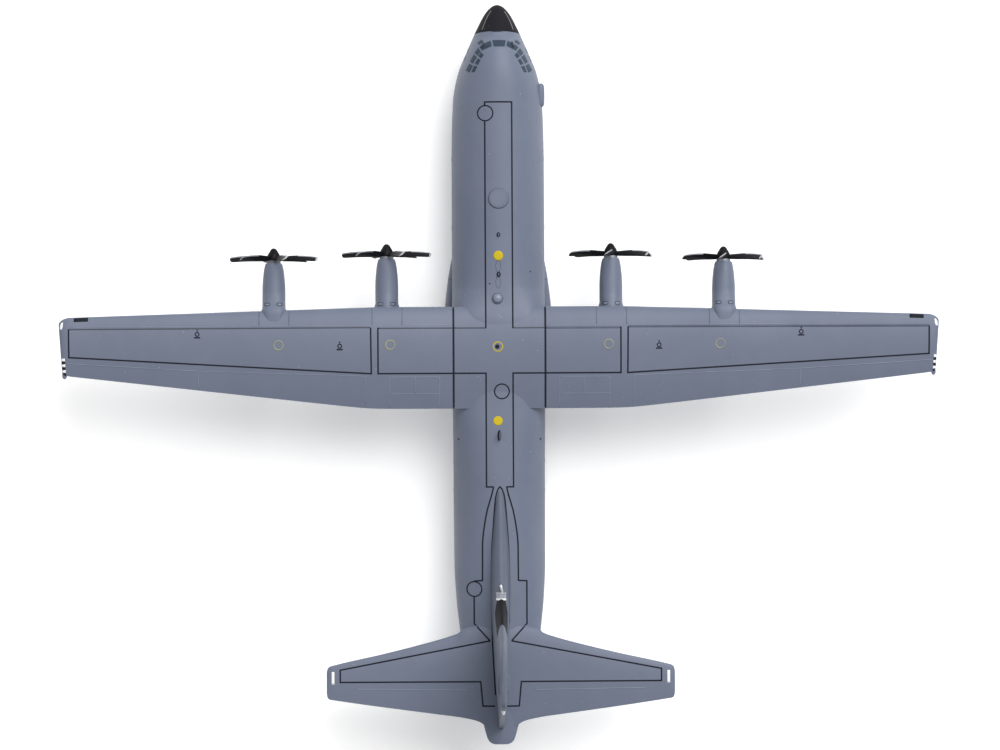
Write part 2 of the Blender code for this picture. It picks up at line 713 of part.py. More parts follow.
def spinner_profile():
    """The spinner's ogive from its tip down, then the hub's rim and the shaft behind it."""
    points = [(spinner_radius(step * MM), SPINNER_LENGTH - step * MM) for step in SPINNER_STATIONS]
    shaft_end = SHAFT_END_GAP - HUB_BACK - NACELLE_SET_BACK - SHAFT_LENGTH
    points += [(HUB_RADIUS, 0.0), (HUB_RADIUS, -HUB_BACK), (SHAFT_RADIUS, -HUB_BACK)]
    points += [(SHAFT_RADIUS, shaft_end), (0.0, shaft_end)]
    return points


def make_propeller(index, parts, helpers, black):
    """A propeller: spinner, hub, shaft and six blades as one moulding."""
    number = index + 1
    place = Matrix.Translation(prop_place(index)) @ Matrix.Rotation(
        math.radians(PROP_PHASES[index]), 4, "Y"
    )
    propeller = turned_profile(f"propeller_{number}", spinner_profile(), parts, black, 24)
    propeller.matrix_world = place @ Matrix.Rotation(-math.pi / 2, 4, "X")
    blades = object_from(make_blades(), f"blades_{number}", helpers)
    blades.matrix_world = place
    boolean(propeller, blades, "UNION")
    return propeller


# Tailplane: leading and trailing edge against X in mm
tailplane_leading = smooth([
    (0.0, -57.5), (8.0, -58.9), (9.2, -59.5), (9.6, -59.95), (10.5, -60.4), (12.0, -60.9), (15.05, -61.8),
    (27.0, -64.8), (38.6, -67.4), (39.6, -67.7), (40.1, -68.2), (40.3, -69.1),
])
tailplane_trailing = smooth([
    (0.0, -83.5), (4.0, -81.3), (5.2, -80.6), (6.5, -80.2), (10.05, -79.5), (14.9, -78.85), (38.6, -75.5),
    (39.7, -75.3), (40.15, -74.8), (40.3, -73.8),
])
tailplane_thinning = smooth([(38.6, 1.0), (39.6, 0.8), (40.3, 0.5)])
TAILPLANE_ROOT_THICKNESS = 0.12
TAILPLANE_TIP_THICKNESS = 0.1
TAILPLANE_EDGE = 0.3 * MM
TAILPLANE_STATIONS = (2.8, 5.2, 6.6, 8.6, 9.6, 10.5, 12.0, 15.0, 22.0, 30.0, 38.6, 39.6, 40.3)


def make_tailplane(side, name, body, parts, paint):
    rings = []
    for x in [station * MM for station in TAILPLANE_STATIONS]:
        leading, trailing = tailplane_leading(x), tailplane_trailing(x)
        out = x / TAILPLANE_HALF_SPAN
        thickness = TAILPLANE_ROOT_THICKNESS + out * (TAILPLANE_TIP_THICKNESS - TAILPLANE_ROOT_THICKNESS)
        thickness *= tailplane_thinning(x) / MM
        outline = aerofoil(leading, trailing, TAILPLANE_EDGE / 2, thickness, 0.0)
        rings.append([Vector((side * x, y, TAILPLANE_Z + rise)) for y, rise in outline])
    tailplane = object_from(loft(rings), f"tailplane_{name}", parts, paint)
    boolean(tailplane, body, "DIFFERENCE")
    return tailplane


# Fin: leading edge, trailing edge and half-thickness against Z in mm
fin_leading = smooth([
    (22.2, -25.5), (23.2, -27.5), (24.0, -31.0), (25.0, -35.0), (26.0, -38.7), (27.0, -42.0),
    (28.0, -45.0), (29.0, -47.4), (30.0, -49.3), (31.5, -51.2), (34.0, -52.9), (40.0, -55.4),
    (50.0, -59.2), (55.0, -61.2), (57.0, -62.4), (58.3, -64.0), (59.0, -66.0), (59.2, -68.0),
])
fin_trailing = smooth([
    (22.2, -82.3), (57.0, -75.1), (58.3, -74.6), (59.0, -73.9), (59.2, -73.0),
])
fin_half_thickness = smooth([
    (22.2, 2.3), (23.4, 2.08), (25.0, 1.9), (28.0, 1.68), (31.5, 1.55), (40.0, 1.35), (50.0, 1.05),
    (57.0, 0.8), (58.6, 0.55), (59.2, 0.25),
])
fin_half_edge = smooth([(22.2, 0.5), (57.0, 0.5), (58.6, 0.38), (59.2, 0.2)])
FIN_LEVELS = (
    22.2, 23.4, 24.2, 25.0, 26.0, 27.0, 28.0, 29.0, 30.0, 31.5, 34.0, 40.0, 50.0, 55.0, 57.0, 58.3, 59.0
)


def fin_solid(grow=0.0):
    rings = []
    for z in [level * MM for level in FIN_LEVELS] + [HEIGHT]:
        leading, trailing = fin_leading(z), fin_trailing(z)
        ratio = 2 * (fin_half_thickness(z) + grow) / (leading - trailing)
        outline = aerofoil(leading + grow, trailing - grow, fin_half_edge(z) + grow, ratio, 0.0)
        rings.append([Vector((across, y, z)) for y, across in outline])
    return loft(rings)


def make_fin(body, parts, paint):
    """The fin with its dorsal fillet, its foot shaped to the fuselage's crown."""
    fin = object_from(fin_solid(), "fin", parts, paint)
    boolean(fin, body, "DIFFERENCE")


def make_exhaust(index, parts, helpers, steel):
    """The jet pipe under the wing, at the tail of a nacelle: an oval tube, blind ahead."""
    number = index + 1
    shaft = prop_place(index)
    place = Vector((shaft.x, nacelle_front(index) - EXHAUST_START, shaft.z - EXHAUST_DROP))
    rings = []
    bore_rings = []
    for back, half_width, half_height in EXHAUST_OUTSIDE:
        y = place.y - back * MM
        centre = (place.x, place.z)
        rings.append(superellipse(centre, half_width * MM, half_height * MM, half_height * MM, 2, 2, y, 16))
    for back, half_width, half_height in EXHAUST_BORE:
        y = place.y - back * MM
        centre = (place.x, place.z)
        bore_rings.append(
            superellipse(centre, half_width * MM, half_height * MM, half_height * MM, 2, 2, y, 16)
        )
    exhaust = object_from(loft(rings), f"exhaust_{number}", parts, steel)
    bore = object_from(loft(bore_rings), f"exhaust_bore_{number}", helpers)
    boolean(exhaust, bore, "DIFFERENCE")
    nacelle = object_from(nacelle_body(index, SEAT_GAP), f"nacelle_outline_{number}", helpers)
    boolean(exhaust, nacelle, "DIFFERENCE")
    return exhaust


def wheel_profile(outer, inner, half_width, shoulder):
    """The section of a tyre with round shoulders, from its top outer edge down, closed on itself."""
    centre = outer - shoulder
    side = half_width - shoulder
    steps = 3
    points = [(inner, half_width)]
    for i in range(steps + 1):
        angle = math.pi / 2 * (1 - i / steps)
        points.append((centre + shoulder * math.cos(angle), side + shoulder * math.sin(angle)))
    for i in range(steps + 1):
        angle = -math.pi / 2 * i / steps
        points.append((centre + shoulder * math.cos(angle), -side + shoulder * math.sin(angle)))
    points.append((inner, -half_width))
    points.append((inner, half_width))
    return points


def on_axle(side, place):
    """A place that turns a piece made round Z so that its top faces outboard."""
    return Matrix.Translation(place) @ Matrix.Rotation(side * math.pi / 2, 4, "Y")


def make_tyre(name, side, place, outer, inner, width, parts, rubber):
    points = wheel_profile(outer, inner + SEAT_GAP, width / 2, 0.3 * width)
    tyre = turned_profile(name, points, parts, rubber, WHEEL_SIDES)
    tyre.matrix_world = on_axle(side, place)
    return tyre


def make_main_hub(name, side, place, parts, paint):
    """A dished wheel hub, bored through for its axle stub."""
    rim = MAIN_WHEEL_RADIUS * RIM_SHARE
    bore = MAIN_AXLE_RADIUS + RUNNING_GAP
    half = MAIN_WHEEL_WIDTH / 2
    points = [
        (bore, half * 0.75), (bore + 0.35 * MM, half * 0.75), (bore + 0.45 * MM, half * 0.35),
        (rim - 0.4 * MM, half * 0.35), (rim - 0.2 * MM, half * 0.9), (rim, half * 0.9),
        (rim, -half * 0.9), (bore, -half * 0.9), (bore, half * 0.75),
    ]
    hub = turned_profile(name, points, parts, paint, WHEEL_SIDES)
    hub.matrix_world = on_axle(side, place)
    return hub


def make_main_gear(side, name, parts, helpers, paint, steel, rubber):
    """One side's casting with both struts and axle stubs, then its two wheels in line."""
    middle = side * STRUT_X
    bridge = box_between(
        (middle - BRIDGE_HALF_WIDTH, MAIN_GEAR_Y - MAIN_WHEEL_PITCH / 2, BRIDGE_LOW_Z),
        (middle + BRIDGE_HALF_WIDTH, MAIN_GEAR_Y + MAIN_WHEEL_PITCH / 2, BRIDGE_TOP_Z),
    )
    leg = object_from(bridge, f"main_gear_leg_{name}", parts, steel)
    for step, end in ((1, "front"), (-1, "rear")):
        y = MAIN_GEAR_Y + step * MAIN_WHEEL_PITCH / 2
        foot = Vector((side * STRUT_X, y, MAIN_WHEEL_RADIUS))
        strut = object_from(
            cylinder_between(
                foot - Vector((0, 0, STRUT_FOOT)), foot + Vector((0, 0, STRUT_RISE)), STRUT_RADIUS
            ),
            f"strut_{name}_{end}",
            helpers,
        )
        boolean(leg, strut, "UNION")
        wheel = Vector((side * MAIN_WHEEL_X, y, MAIN_WHEEL_RADIUS))
        outer_end = wheel + Vector((side * STUB_REACH, 0, 0))
        axle = object_from(
            cylinder_between(foot, outer_end, MAIN_AXLE_RADIUS), f"axle_{name}_{end}", helpers
        )
        boolean(leg, axle, "UNION")
        rim = MAIN_WHEEL_RADIUS * RIM_SHARE
        make_tyre(
            f"tyre_{name}_{end}", side, wheel, MAIN_WHEEL_RADIUS, rim, MAIN_WHEEL_WIDTH, parts, rubber
        )
        make_main_hub(f"hub_{name}_{end}", side, wheel, parts, paint)


def make_nose_gear(parts, helpers, steel, rubber):
    """The nose leg, and the turned axle with its two rims that the twin tyres sit on."""
    centre = Vector((0, NOSE_GEAR_Y, NOSE_WHEEL_RADIUS))
    top = Vector((0, NOSE_GEAR_Y, NOSE_WELL_TOP - SEAT_GAP))
    leg = object_from(
        cylinder_between(centre - Vector((0, 0, NOSE_LEG_FOOT)), top, NOSE_LEG_RADIUS), "nose_gear_leg",
        parts, steel,
    )
    brace_foot = centre + Vector((0, 0, BRACE_RISE))
    brace_top = top - Vector((0, BRACE_BACK, BRACE_RADIUS))
    brace = object_from(cylinder_between(brace_foot, brace_top, BRACE_RADIUS, 12), "nose_brace", helpers)
    boolean(leg, brace, "UNION")
    reach = Vector((NOSE_AXLE_REACH, 0, 0))
    bore = object_from(
        cylinder_between(centre - reach, centre + reach, NOSE_AXLE_RADIUS + RUNNING_GAP / 2), "nose_bore",
        helpers,
    )
    boolean(leg, bore, "DIFFERENCE")
    rim = NOSE_WHEEL_RADIUS * RIM_SHARE
    half = NOSE_WHEEL_WIDTH / 2 * 0.85
    inner_face, outer_face = NOSE_WHEEL_X - half, NOSE_WHEEL_X + half
    points = [
        (0.0, outer_face - 0.2 * MM), (0.45 * MM, outer_face - 0.2 * MM), (0.5 * MM, outer_face - 0.5 * MM),
        (rim - 0.35 * MM, outer_face - 0.5 * MM), (rim - 0.2 * MM, outer_face), (rim, outer_face),
        (rim, inner_face), (NOSE_AXLE_RADIUS, inner_face),
    ]
    points += [(radius, -height) for radius, height in reversed(points)]
    axle = turned_profile("nose_axle", points, parts, steel, WHEEL_SIDES)
    axle.matrix_world = on_axle(1, centre)
    for side, name in ((-1, "left"), (1, "right")):
        place = centre + Vector((side * NOSE_WHEEL_X, 0, 0))
        make_tyre(f"nose_tyre_{name}", side, place, NOSE_WHEEL_RADIUS, rim, NOSE_WHEEL_WIDTH, parts, rubber)


def make_gear_doors(parts, paint):
    """The doors that hang open beside the wheel wells, fixed as they are cast."""
    for side, name in ((-1, "left"), (1, "right")):
        inner, outer = sorted((side * NOSE_DOOR_X, side * (NOSE_DOOR_X + DOOR_THICKNESS)))
        door = box_between(
            (inner, NOSE_GEAR_Y - NOSE_DOOR_BEHIND, DOOR_LOW_Z),
            (outer, NOSE_GEAR_Y + NOSE_DOOR_AHEAD, NOSE_DOOR_TOP_Z),
        )
        object_from(door, f"nose_gear_door_{name}", parts, paint)
        inner, outer = sorted((side * MAIN_DOOR_X, side * (MAIN_DOOR_X + DOOR_THICKNESS)))
        door = box_between(
            (inner, MAIN_GEAR_Y - MAIN_DOOR_HALF_LENGTH, DOOR_LOW_Z),
            (outer, MAIN_GEAR_Y + MAIN_DOOR_HALF_LENGTH, MAIN_DOOR_TOP_Z),
        )
        object_from(door, f"main_gear_door_{name}", parts, paint)


def ellipsoid(place, half_sizes, segments=16, rings=10):
    bm = bmesh.new()
    bmesh.ops.create_uvsphere(bm, u_segments=segments, v_segments=rings, radius=1.0)
    return turned(bm, Matrix.Translation(place) @ Matrix.Diagonal((*half_sizes, 1.0)))


def side_fairing_solid():
    """The round-ended fairing on the barrel's right side, behind the flight deck."""
    rings = []
    for reach, share in ((0.0, 0.4), (0.12, 0.66), (0.5, 0.88), (1.3, 0.98)):
        rings.append((FAIRING_FRONT_Y - reach * MM, share))
    rings += [(FAIRING_FRONT_Y + FAIRING_REAR_Y - y, share) for y, share in reversed(rings)]
    return loft([
        superellipse(
            (FAIRING_X, FAIRING_Z), FAIRING_HALF_WIDTH * share, FAIRING_HALF_HEIGHT * share,
            FAIRING_HALF_HEIGHT * share, 2.6, 2.6, y, 16,
        )
        for y, share in rings
    ])


def make_fittings(body, parts, helpers, paint, steel, lamp):
    """The small pieces along the crown, on the nose and on the fin."""
    crown = fuselage_crown(HATCH_Y)
    hatch = object_from(
        cylinder_between(
            (0, HATCH_Y, crown - HATCH_DEPTH), (0, HATCH_Y, crown + HATCH_RISE), HATCH_RADIUS, 32
        ),
        "crown_hatch", parts, paint,
    )
    beacon = object_from(
        cylinder_between(
            (0, BEACON_Y, crown - BEACON_DEPTH), (0, BEACON_Y, crown + BEACON_RIM_RISE), BEACON_RADIUS, 24
        ),
        "crown_beacon", parts, paint,
    )
    dome_radius = BEACON_RADIUS - 0.15 * MM
    dome = object_from(
        ellipsoid((0, BEACON_Y, crown + BEACON_RIM_RISE), (dome_radius, dome_radius, BEACON_DOME_RISE)),
        "beacon_dome", helpers,
    )
    boolean(beacon, dome, "UNION")
    bump = object_from(side_fairing_solid(), "side_fairing", parts, paint)
    pieces = [hatch, beacon, bump]
    for name, y, height, length in ANTENNAS:
        y, height, length = y * MM, height * MM, length * MM
        rings = []
        for level, share in ((-ANTENNA_DEPTH, 1.0), (height * 0.8, 0.7), (height, 0.45)):
            front = y + length / 2 - length * (1 - share) * 0.9
            rings.append(blade_outline(0.0, front, length * share, ANTENNA_HALF_WIDTH, crown + level))
        pieces.append(object_from(loft(rings), name, parts, paint))
    for side, name in ((-1, "left"), (1, "right")):
        root = Vector((side * PITOT_ROOT[0], PITOT_ROOT[1], PITOT_ROOT[2]))
        front = Vector((side * PITOT_FRONT[0], PITOT_FRONT[1], PITOT_FRONT[2]))
        foot = root - Vector((side * PITOT_LEAN, 0, PITOT_STEM))
        pitot = object_from(cylinder_between(foot, root, PITOT_RADIUS, 10), f"pitot_{name}", parts, steel)
        tube = object_from(
            cylinder_between(root + (root - front) * 0.15, front, PITOT_RADIUS, 10), f"pitot_tube_{name}",
            helpers,
        )
        boolean(pitot, tube, "UNION")
        pieces.append(pitot)
    for piece in pieces:
        boolean(piece, body, "DIFFERENCE")
    probe = object_from(
        cylinder_between(
            (0, PROBE_COLLAR_Y[0], PROBE_Z), (0, PROBE_COLLAR_Y[1], PROBE_Z), PROBE_COLLAR_RADIUS, 20
        ),
        "fin_probe", parts, steel,
    )
    rod = object_from(
        cylinder_between((0, PROBE_ROD_Y[0], PROBE_Z), (0, PROBE_ROD_Y[1], PROBE_Z), PROBE_ROD_RADIUS, 12),
        "probe_rod", helpers,
    )
    boolean(probe, rod, "UNION")
    pieces = [probe]
    for side, name in ((-1, "left"), (1, "right")):
        place = (side * BLISTER_PLACE[0], BLISTER_PLACE[1], BLISTER_PLACE[2])
        blister = ellipsoid(place, BLISTER_HALF_SIZES, 12, 8)
        pieces.append(object_from(blister, f"fin_blister_{name}", parts, paint))
    tail_lamp = ellipsoid(TAIL_LAMP_PLACE, TAIL_LAMP_HALF_SIZES, 12, 8)
    pieces.append(object_from(tail_lamp, "tail_lamp", parts, lamp))
    cutter = object_from(fin_solid(SEAT_GAP), "fin_outline", helpers)
    for piece in pieces:
        boolean(piece, cutter, "DIFFERENCE")


def blade_outline(x, front, length, half_thickness, z):
    """A lens-shaped ring at height z, for a blade antenna."""
    ring = []
    sides = 8
    for i in range(sides):
        angle = 2 * math.pi * i / sides
        ring.append(Vector((
            x + half_thickness * math.sin(angle), front - length / 2 + length / 2 * math.cos(angle), z
        )))
    return ring


def main():
    clear_scene()
    parts = new_collection("transport plane")
    helpers = new_collection("cutters")
    grey = new_material("grey paint", (0.215, 0.25, 0.31), 0.45)
    black = new_material("black paint", (0.018, 0.018, 0.02), 0.4)
    steel = new_material("bare steel", (0.55, 0.55, 0.56), 0.35, 1.0)
    rubber = new_material("tyre rubber", (0.02, 0.02, 0.021), 0.8)
    lamp = new_material("clear lamp", (0.7, 0.72, 0.74), 0.15)
    fuselage = make_fuselage(parts, helpers, grey)
    make_radome(parts, black)
    body = object_from(fuselage_body(NOSE_Y - RADOME_LENGTH, SEAT_GAP), "fuselage_outline", helpers)
    for side, name in ((-1, "left"), (1, "right")):
        make_wing(side, name, parts, helpers, grey)
        well = make_main_well(side, name, helpers)
        boolean(fuselage, well, "DIFFERENCE")
        make_sponson(side, name, body, well, parts, grey)
        make_tailplane(side, name, body, parts, grey)
        make_main_gear(side, name, parts, helpers, grey, steel, rubber)
    make_fin(body, parts, grey)
    make_nose_gear(parts, helpers, steel, rubber)
    make_gear_doors(parts, grey)
    make_fittings(body, parts, helpers, grey, steel, lamp)
    for index in range(len(ENGINE_X)):
        make_nacelle(index, parts, helpers, grey)
        make_propeller(index, parts, helpers, black)
        make_exhaust(index, parts, helpers, steel)


main()
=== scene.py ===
"""The looks of a 1:200 die-cast model of a four-engined turboprop transport plane.

The nose points along +Y, the right wing along +X and up is +Z. The wheels stand on Z = 0, and the
origin is on the ground midway between nose and tail. Lengths in the tables are in millimetres.
"""
import json
import math

import bmesh
import bpy
from mathutils import Matrix, Vector
from mathutils.bvhtree import BVHTree


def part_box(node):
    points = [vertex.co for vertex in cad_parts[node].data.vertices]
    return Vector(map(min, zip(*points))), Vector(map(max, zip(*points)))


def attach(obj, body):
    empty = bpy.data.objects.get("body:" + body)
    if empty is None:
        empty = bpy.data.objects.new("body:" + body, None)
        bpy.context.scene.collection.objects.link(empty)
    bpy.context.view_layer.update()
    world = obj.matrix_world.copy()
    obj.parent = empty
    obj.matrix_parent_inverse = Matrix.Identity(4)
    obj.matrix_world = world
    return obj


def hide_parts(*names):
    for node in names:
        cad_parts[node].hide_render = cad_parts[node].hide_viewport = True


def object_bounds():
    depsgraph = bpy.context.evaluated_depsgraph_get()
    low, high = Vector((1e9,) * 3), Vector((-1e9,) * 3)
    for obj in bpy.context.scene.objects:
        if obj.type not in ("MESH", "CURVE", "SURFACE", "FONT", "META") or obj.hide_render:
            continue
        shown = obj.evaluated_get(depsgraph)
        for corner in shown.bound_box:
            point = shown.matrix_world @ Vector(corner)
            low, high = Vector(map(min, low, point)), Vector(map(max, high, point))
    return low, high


bl_info = {
    "name": "Die-cast transport plane",
    "version": (1, 0, 0),
    "blender": (4, 5, 0),
    "location": "3D View > Sidebar > Plane",
    "description": "Builds and paints a small die-cast model of a turboprop transport plane",
    "category": "Add Mesh",
}

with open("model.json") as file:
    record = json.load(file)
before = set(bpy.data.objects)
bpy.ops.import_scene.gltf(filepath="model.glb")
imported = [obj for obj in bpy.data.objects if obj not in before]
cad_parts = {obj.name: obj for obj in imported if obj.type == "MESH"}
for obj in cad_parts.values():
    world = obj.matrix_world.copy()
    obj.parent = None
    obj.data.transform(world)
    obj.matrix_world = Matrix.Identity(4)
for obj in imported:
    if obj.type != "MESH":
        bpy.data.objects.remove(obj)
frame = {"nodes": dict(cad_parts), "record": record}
CAD_LOW, CAD_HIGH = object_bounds()
MM = 0.001
SIDES = ((-1, "left"), (1, "right"))
DOWN, UP = (0, 0, -1), (0, 0, 1)
ACROSS, ALONG = (1, 0, 0), (0, 1, 0)
SHARP_ANGLE = math.radians(32)
MERGE_DISTANCE = 1e-7

# Places read from the frame, in millimetres
NOSE_Y = CAD_HIGH.y / MM
TAIL_Y = CAD_LOW.y / MM
WING_TIP_X = CAD_HIGH.x / MM
RADOME_BASE_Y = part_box("radome")[0].y / MM

# The wing's plan, in millimetres
WING_ROOT_X = 10.6
ROOT_GAP = 0.25
LEADING_KINK_X, TRAILING_KINK_X, KINK_BLEND = 28.0, 30.0, 3.0
LEADING_Y, TIP_LEADING_Y = 15.4, 13.15
TRAILING_Y, TIP_TRAILING_Y = -8.2, -0.05
CORNER_LENGTH, CORNER_DEPTH, TIP_SLANT, TIP_ROUNDING = 2.8, 1.6, 0.8, 3.0
REAR_CORNER_LENGTH, REAR_CORNER_DEPTH = 0.9, 0.7
WING_ROOT_Z, DIHEDRAL = 21.9, math.radians(2.5)
WING_THICKNESS, WING_THINNING, WING_CAMBER, WING_EDGE = 0.18, 0.06, 0.02, 0.16
WING_POINTS = 29


# Curves and sections


def fair(points):
    """A function of place through (place, value) points, which never overshoots them."""
    places = [p[0] for p in points]
    values = [p[1] for p in points]
    steps = [b - a for a, b in zip(places, places[1:])]
    rises = [(b - a) / h for a, b, h in zip(values, values[1:], steps)]
    slopes = [rises[0]]
    for before, after in zip(rises, rises[1:]):
        slopes.append(2 * before * after / (before + after) if before * after > 0 else 0.0)
    slopes.append(rises[-1])

    def value_at(place):
        if place <= places[0]:
            return values[0]
        if place >= places[-1]:
            return values[-1]
        i = max(k for k, p in enumerate(places) if p <= place)
        t = (place - places[i]) / steps[i]
        return (
            values[i] * (1 + 2 * t) * (1 - t) ** 2
            + slopes[i] * steps[i] * t * (1 - t) ** 2
            + values[i + 1] * t * t * (3 - 2 * t)
            + slopes[i + 1] * steps[i] * t * t * (t - 1)
        )

    return value_at


def spaced(start, end, count):
    """Evenly spaced places, with both ends."""
    return [start + (end - start) * i / (count - 1) for i in range(count)]


def power_ring(x, z, half_width, above, below, power_above, power_below, y, sides):
    """A section across Y: round above and flatter below its widest height."""
    ring = []
    for i in range(sides):
        angle = 2 * math.pi * i / sides
        c, s = math.cos(angle), math.sin(angle)
        power = power_above if s >= 0 else power_below
        height = above if s >= 0 else below
        across = half_width * math.copysign(abs(c) ** (2 / power), c)
        rise = height * math.copysign(abs(s) ** (2 / power), s)
        ring.append(Vector((x + across, y, z + rise)) * MM)
    return ring


# The hull against its length: half width, crown, belly and widest height
HULL_SIDES = 96
hull_half_width = fair([
    (-85.9, 1.5), (-85.6, 2.3), (-84.8, 3.05), (-83.3, 3.55), (-81.3, 4.1), (-78.0, 5.3),
    (-70.0, 7.6), (-64.0, 8.8), (-59.5, 9.4), (-52.0, 10.2), (-44.0, 10.6), (-20.0, 10.7),
    (0.0, 10.8), (48.0, 10.8), (56.0, 10.7), (62.5, 10.45), (66.0, 10.05), (68.3, 9.6),
    (70.7, 8.95), (73.0, 8.0), (75.4, 6.95), (77.7, 5.95), (80.0, 4.9), (81.2, 4.3),
    (82.4, 3.7), (83.6, 3.0), (84.7, 2.15), (85.4, 1.4), (85.75, 0.8), (85.9, 0.3),
])
hull_crown = fair([
    (-85.9, 22.05), (-83.0, 22.45), (-75.0, 22.8), (-60.0, 23.0), (60.0, 23.0), (66.0, 22.95),
    (70.0, 22.75), (73.0, 22.3), (75.2, 21.6), (77.0, 20.3), (78.0, 19.3), (80.2, 18.3),
    (82.4, 17.2), (84.0, 16.1), (85.2, 14.9), (85.75, 14.1), (85.9, 13.6),
])
hull_belly = fair([
    (-85.9, 21.4), (-84.0, 20.7), (-78.0, 19.1), (-70.0, 16.8), (-60.0, 13.5), (-50.0, 9.9),
    (-40.0, 6.3), (-34.0, 4.4), (-28.0, 3.4), (-22.0, 3.2), (60.0, 3.2), (66.0, 3.4),
    (70.0, 3.85), (74.0, 4.8), (78.0, 6.3), (80.2, 7.5), (82.4, 8.9), (84.0, 10.2),
    (85.2, 11.7), (85.75, 12.6), (85.9, 13.1),
])
hull_widest = fair([
    (-85.9, 21.75), (-80.0, 21.0), (-70.0, 19.4), (-60.0, 17.2), (-50.0, 15.0), (-40.0, 13.2),
    (-30.0, 12.3), (-22.0, 12.2), (66.0, 12.2), (74.0, 12.5), (80.2, 13.0), (85.9, 13.35),
])
# How far the hull's shoulders swell to meet the wing
shoulder_swell = fair([
    (-27.0, 0.0), (-18.0, 0.3), (-8.2, 1.2), (10.0, 1.2), (13.5, 2.4), (15.4, 1.7), (18.0, 0.8), (20.0, 0.35),
    (28.0, 0.0),
])
# How far the crown rises into the wing's top
crown_swell = fair([
    (-27.0, 0.0), (-5.0, 0.0), (0.0, 0.4), (6.0, 1.0), (11.0, 1.18), (12.5, 1.08), (14.0, 0.8), (16.0, 0.36),
    (18.0, 0.1), (21.0, 0.0), (28.0, 0.0),
])
belly_flatness = fair([(-50.0, 0.0), (-20.0, 0.4)])
# How far the radome's joint leans back against the drop from the crown
JOINT_START_Y = 60.0
joint_slant = fair([(JOINT_START_Y, 0.0), (76.0, 0.02), (79.4, 0.085), (82.0, 0.05), (85.9, 0.0)])


def hull_ring(y):
    """A plain section of the hull."""
    widest = hull_widest(y)
    above = hull_crown(y) + crown_swell(y) - widest
    return power_ring(0, widest, hull_half_width(y), above, widest - hull_belly(y), 2.0 + shoulder_swell(y),
                      2.0 + belly_flatness(y), y, HULL_SIDES)


def slanted_ring(y):
    """A hull ring whose low points lie further back, as the radome's joint does."""
    plain = hull_ring(y)
    if y < JOINT_START_Y:
        return plain
    top = max(point.z for point in plain)
    rings = {}
    ring = []
    for index, point in enumerate(plain):
        place = round(y - joint_slant(y) * (top - point.z) / MM, 3)
        if place not in rings:
            rings[place] = hull_ring(place)
        ring.append(rings[place][index])
    return ring


# The usual four-digit aerofoil's half thickness, as a polynomial of the share of the chord
ROOT_TERM, POWER_TERMS = 0.2969, (-0.126, -0.3516, 0.2843, -0.1036)


def aerofoil(leading, trailing, half_edge, thickness, camber, points):
    """(y, rise) points round an aerofoil, from the trailing edge over the top and back below."""
    chord = leading - trailing
    upper, lower = [], []
    for i in range(points):
        back = (1 + math.cos(math.pi * i / (points - 1))) / 2
        terms = sum(term * back ** (power + 1) for power, term in enumerate(POWER_TERMS))
        half = 5 * thickness * (ROOT_TERM * math.sqrt(back) + terms)
        half = max(half * chord, 0.0) + half_edge * back
        mean = camber * 4 * back * (1 - back) * chord
        upper.append((leading - back * chord, mean + half))
        lower.append((leading - back * chord, mean - half))
    return upper + lower[-2::-1]


def wing_plan(x):
    """Leading edge, trailing edge, middle height and thickness ratio at a distance out."""
    out = max(0.0, x - LEADING_KINK_X) / (WING_TIP_X - LEADING_KINK_X)
    leading = LEADING_Y + out * (TIP_LEADING_Y - LEADING_Y)
    corner = max(0.0, x - (WING_TIP_X - CORNER_LENGTH)) / CORNER_LENGTH
    leading -= CORNER_DEPTH * (1 - math.sqrt(max(0.0, 1 - corner * corner)))
    taper = (TIP_TRAILING_Y - TRAILING_Y) / (WING_TIP_X - TRAILING_KINK_X)
    past = x - TRAILING_KINK_X
    trailing = TRAILING_Y + taper * (past + math.sqrt(past * past + KINK_BLEND**2)) / 2
    corner = max(0.0, x - (WING_TIP_X - REAR_CORNER_LENGTH)) / REAR_CORNER_LENGTH
    trailing += REAR_CORNER_DEPTH * (1 - math.sqrt(max(0.0, 1 - corner * corner)))
    height = WING_ROOT_Z + max(0.0, x - WING_ROOT_X) * math.tan(DIHEDRAL)
    return leading, trailing, height, WING_THICKNESS - WING_THINNING * out


def wing_ring(x, side, slant=0.0, thin=1.0):
    """A section of a wing; slant draws its front inwards and thin makes it thinner."""
    leading, trailing, height, thickness = wing_plan(abs(x))
    ring = []
    for y, rise in aerofoil(leading, trailing, WING_EDGE, thickness * thin, WING_CAMBER, WING_POINTS):
        shift = slant * (leading - y) / (leading - trailing)
        ring.append(Vector((side * (abs(x) - shift), y, height + rise)) * MM)
    return ring


# Mesh tools


def add_loop(bm, points):
    """A closed loop of edges through the points."""
    loop = bmesh.ops.create_circle(bm, cap_ends=False, radius=MM, segments=len(points))["verts"]
    for vert, point in zip(loop, points):
        vert.co = point
    return loop


def ring_edges(loop):
    """The edges that join the loop's own points."""
    inside = set(loop)
    near = {edge for vert in loop for edge in vert.link_edges}
    return [edge for edge in near if edge.verts[0] in inside and edge.verts[1] in inside]


def tidy(bm):
    """Joins points that touch and turns all faces outward."""
    bmesh.ops.remove_doubles(bm, verts=bm.verts[:], dist=MERGE_DISTANCE)
    bmesh.ops.recalc_face_normals(bm, faces=bm.faces[:])
    return bm


def loft(rings):
    """A closed shape through section after section."""
    bm = bmesh.new()
    loops = [add_loop(bm, ring) for ring in rings]
    edges = [ring_edges(loop) for loop in loops]
    for one, other in zip(edges, edges[1:]):
        bmesh.ops.bridge_loops(bm, edges=one + other)
    for end in (loops[0], loops[-1]):
        bmesh.ops.contextual_create(bm, geom=end)
    return tidy(bm)


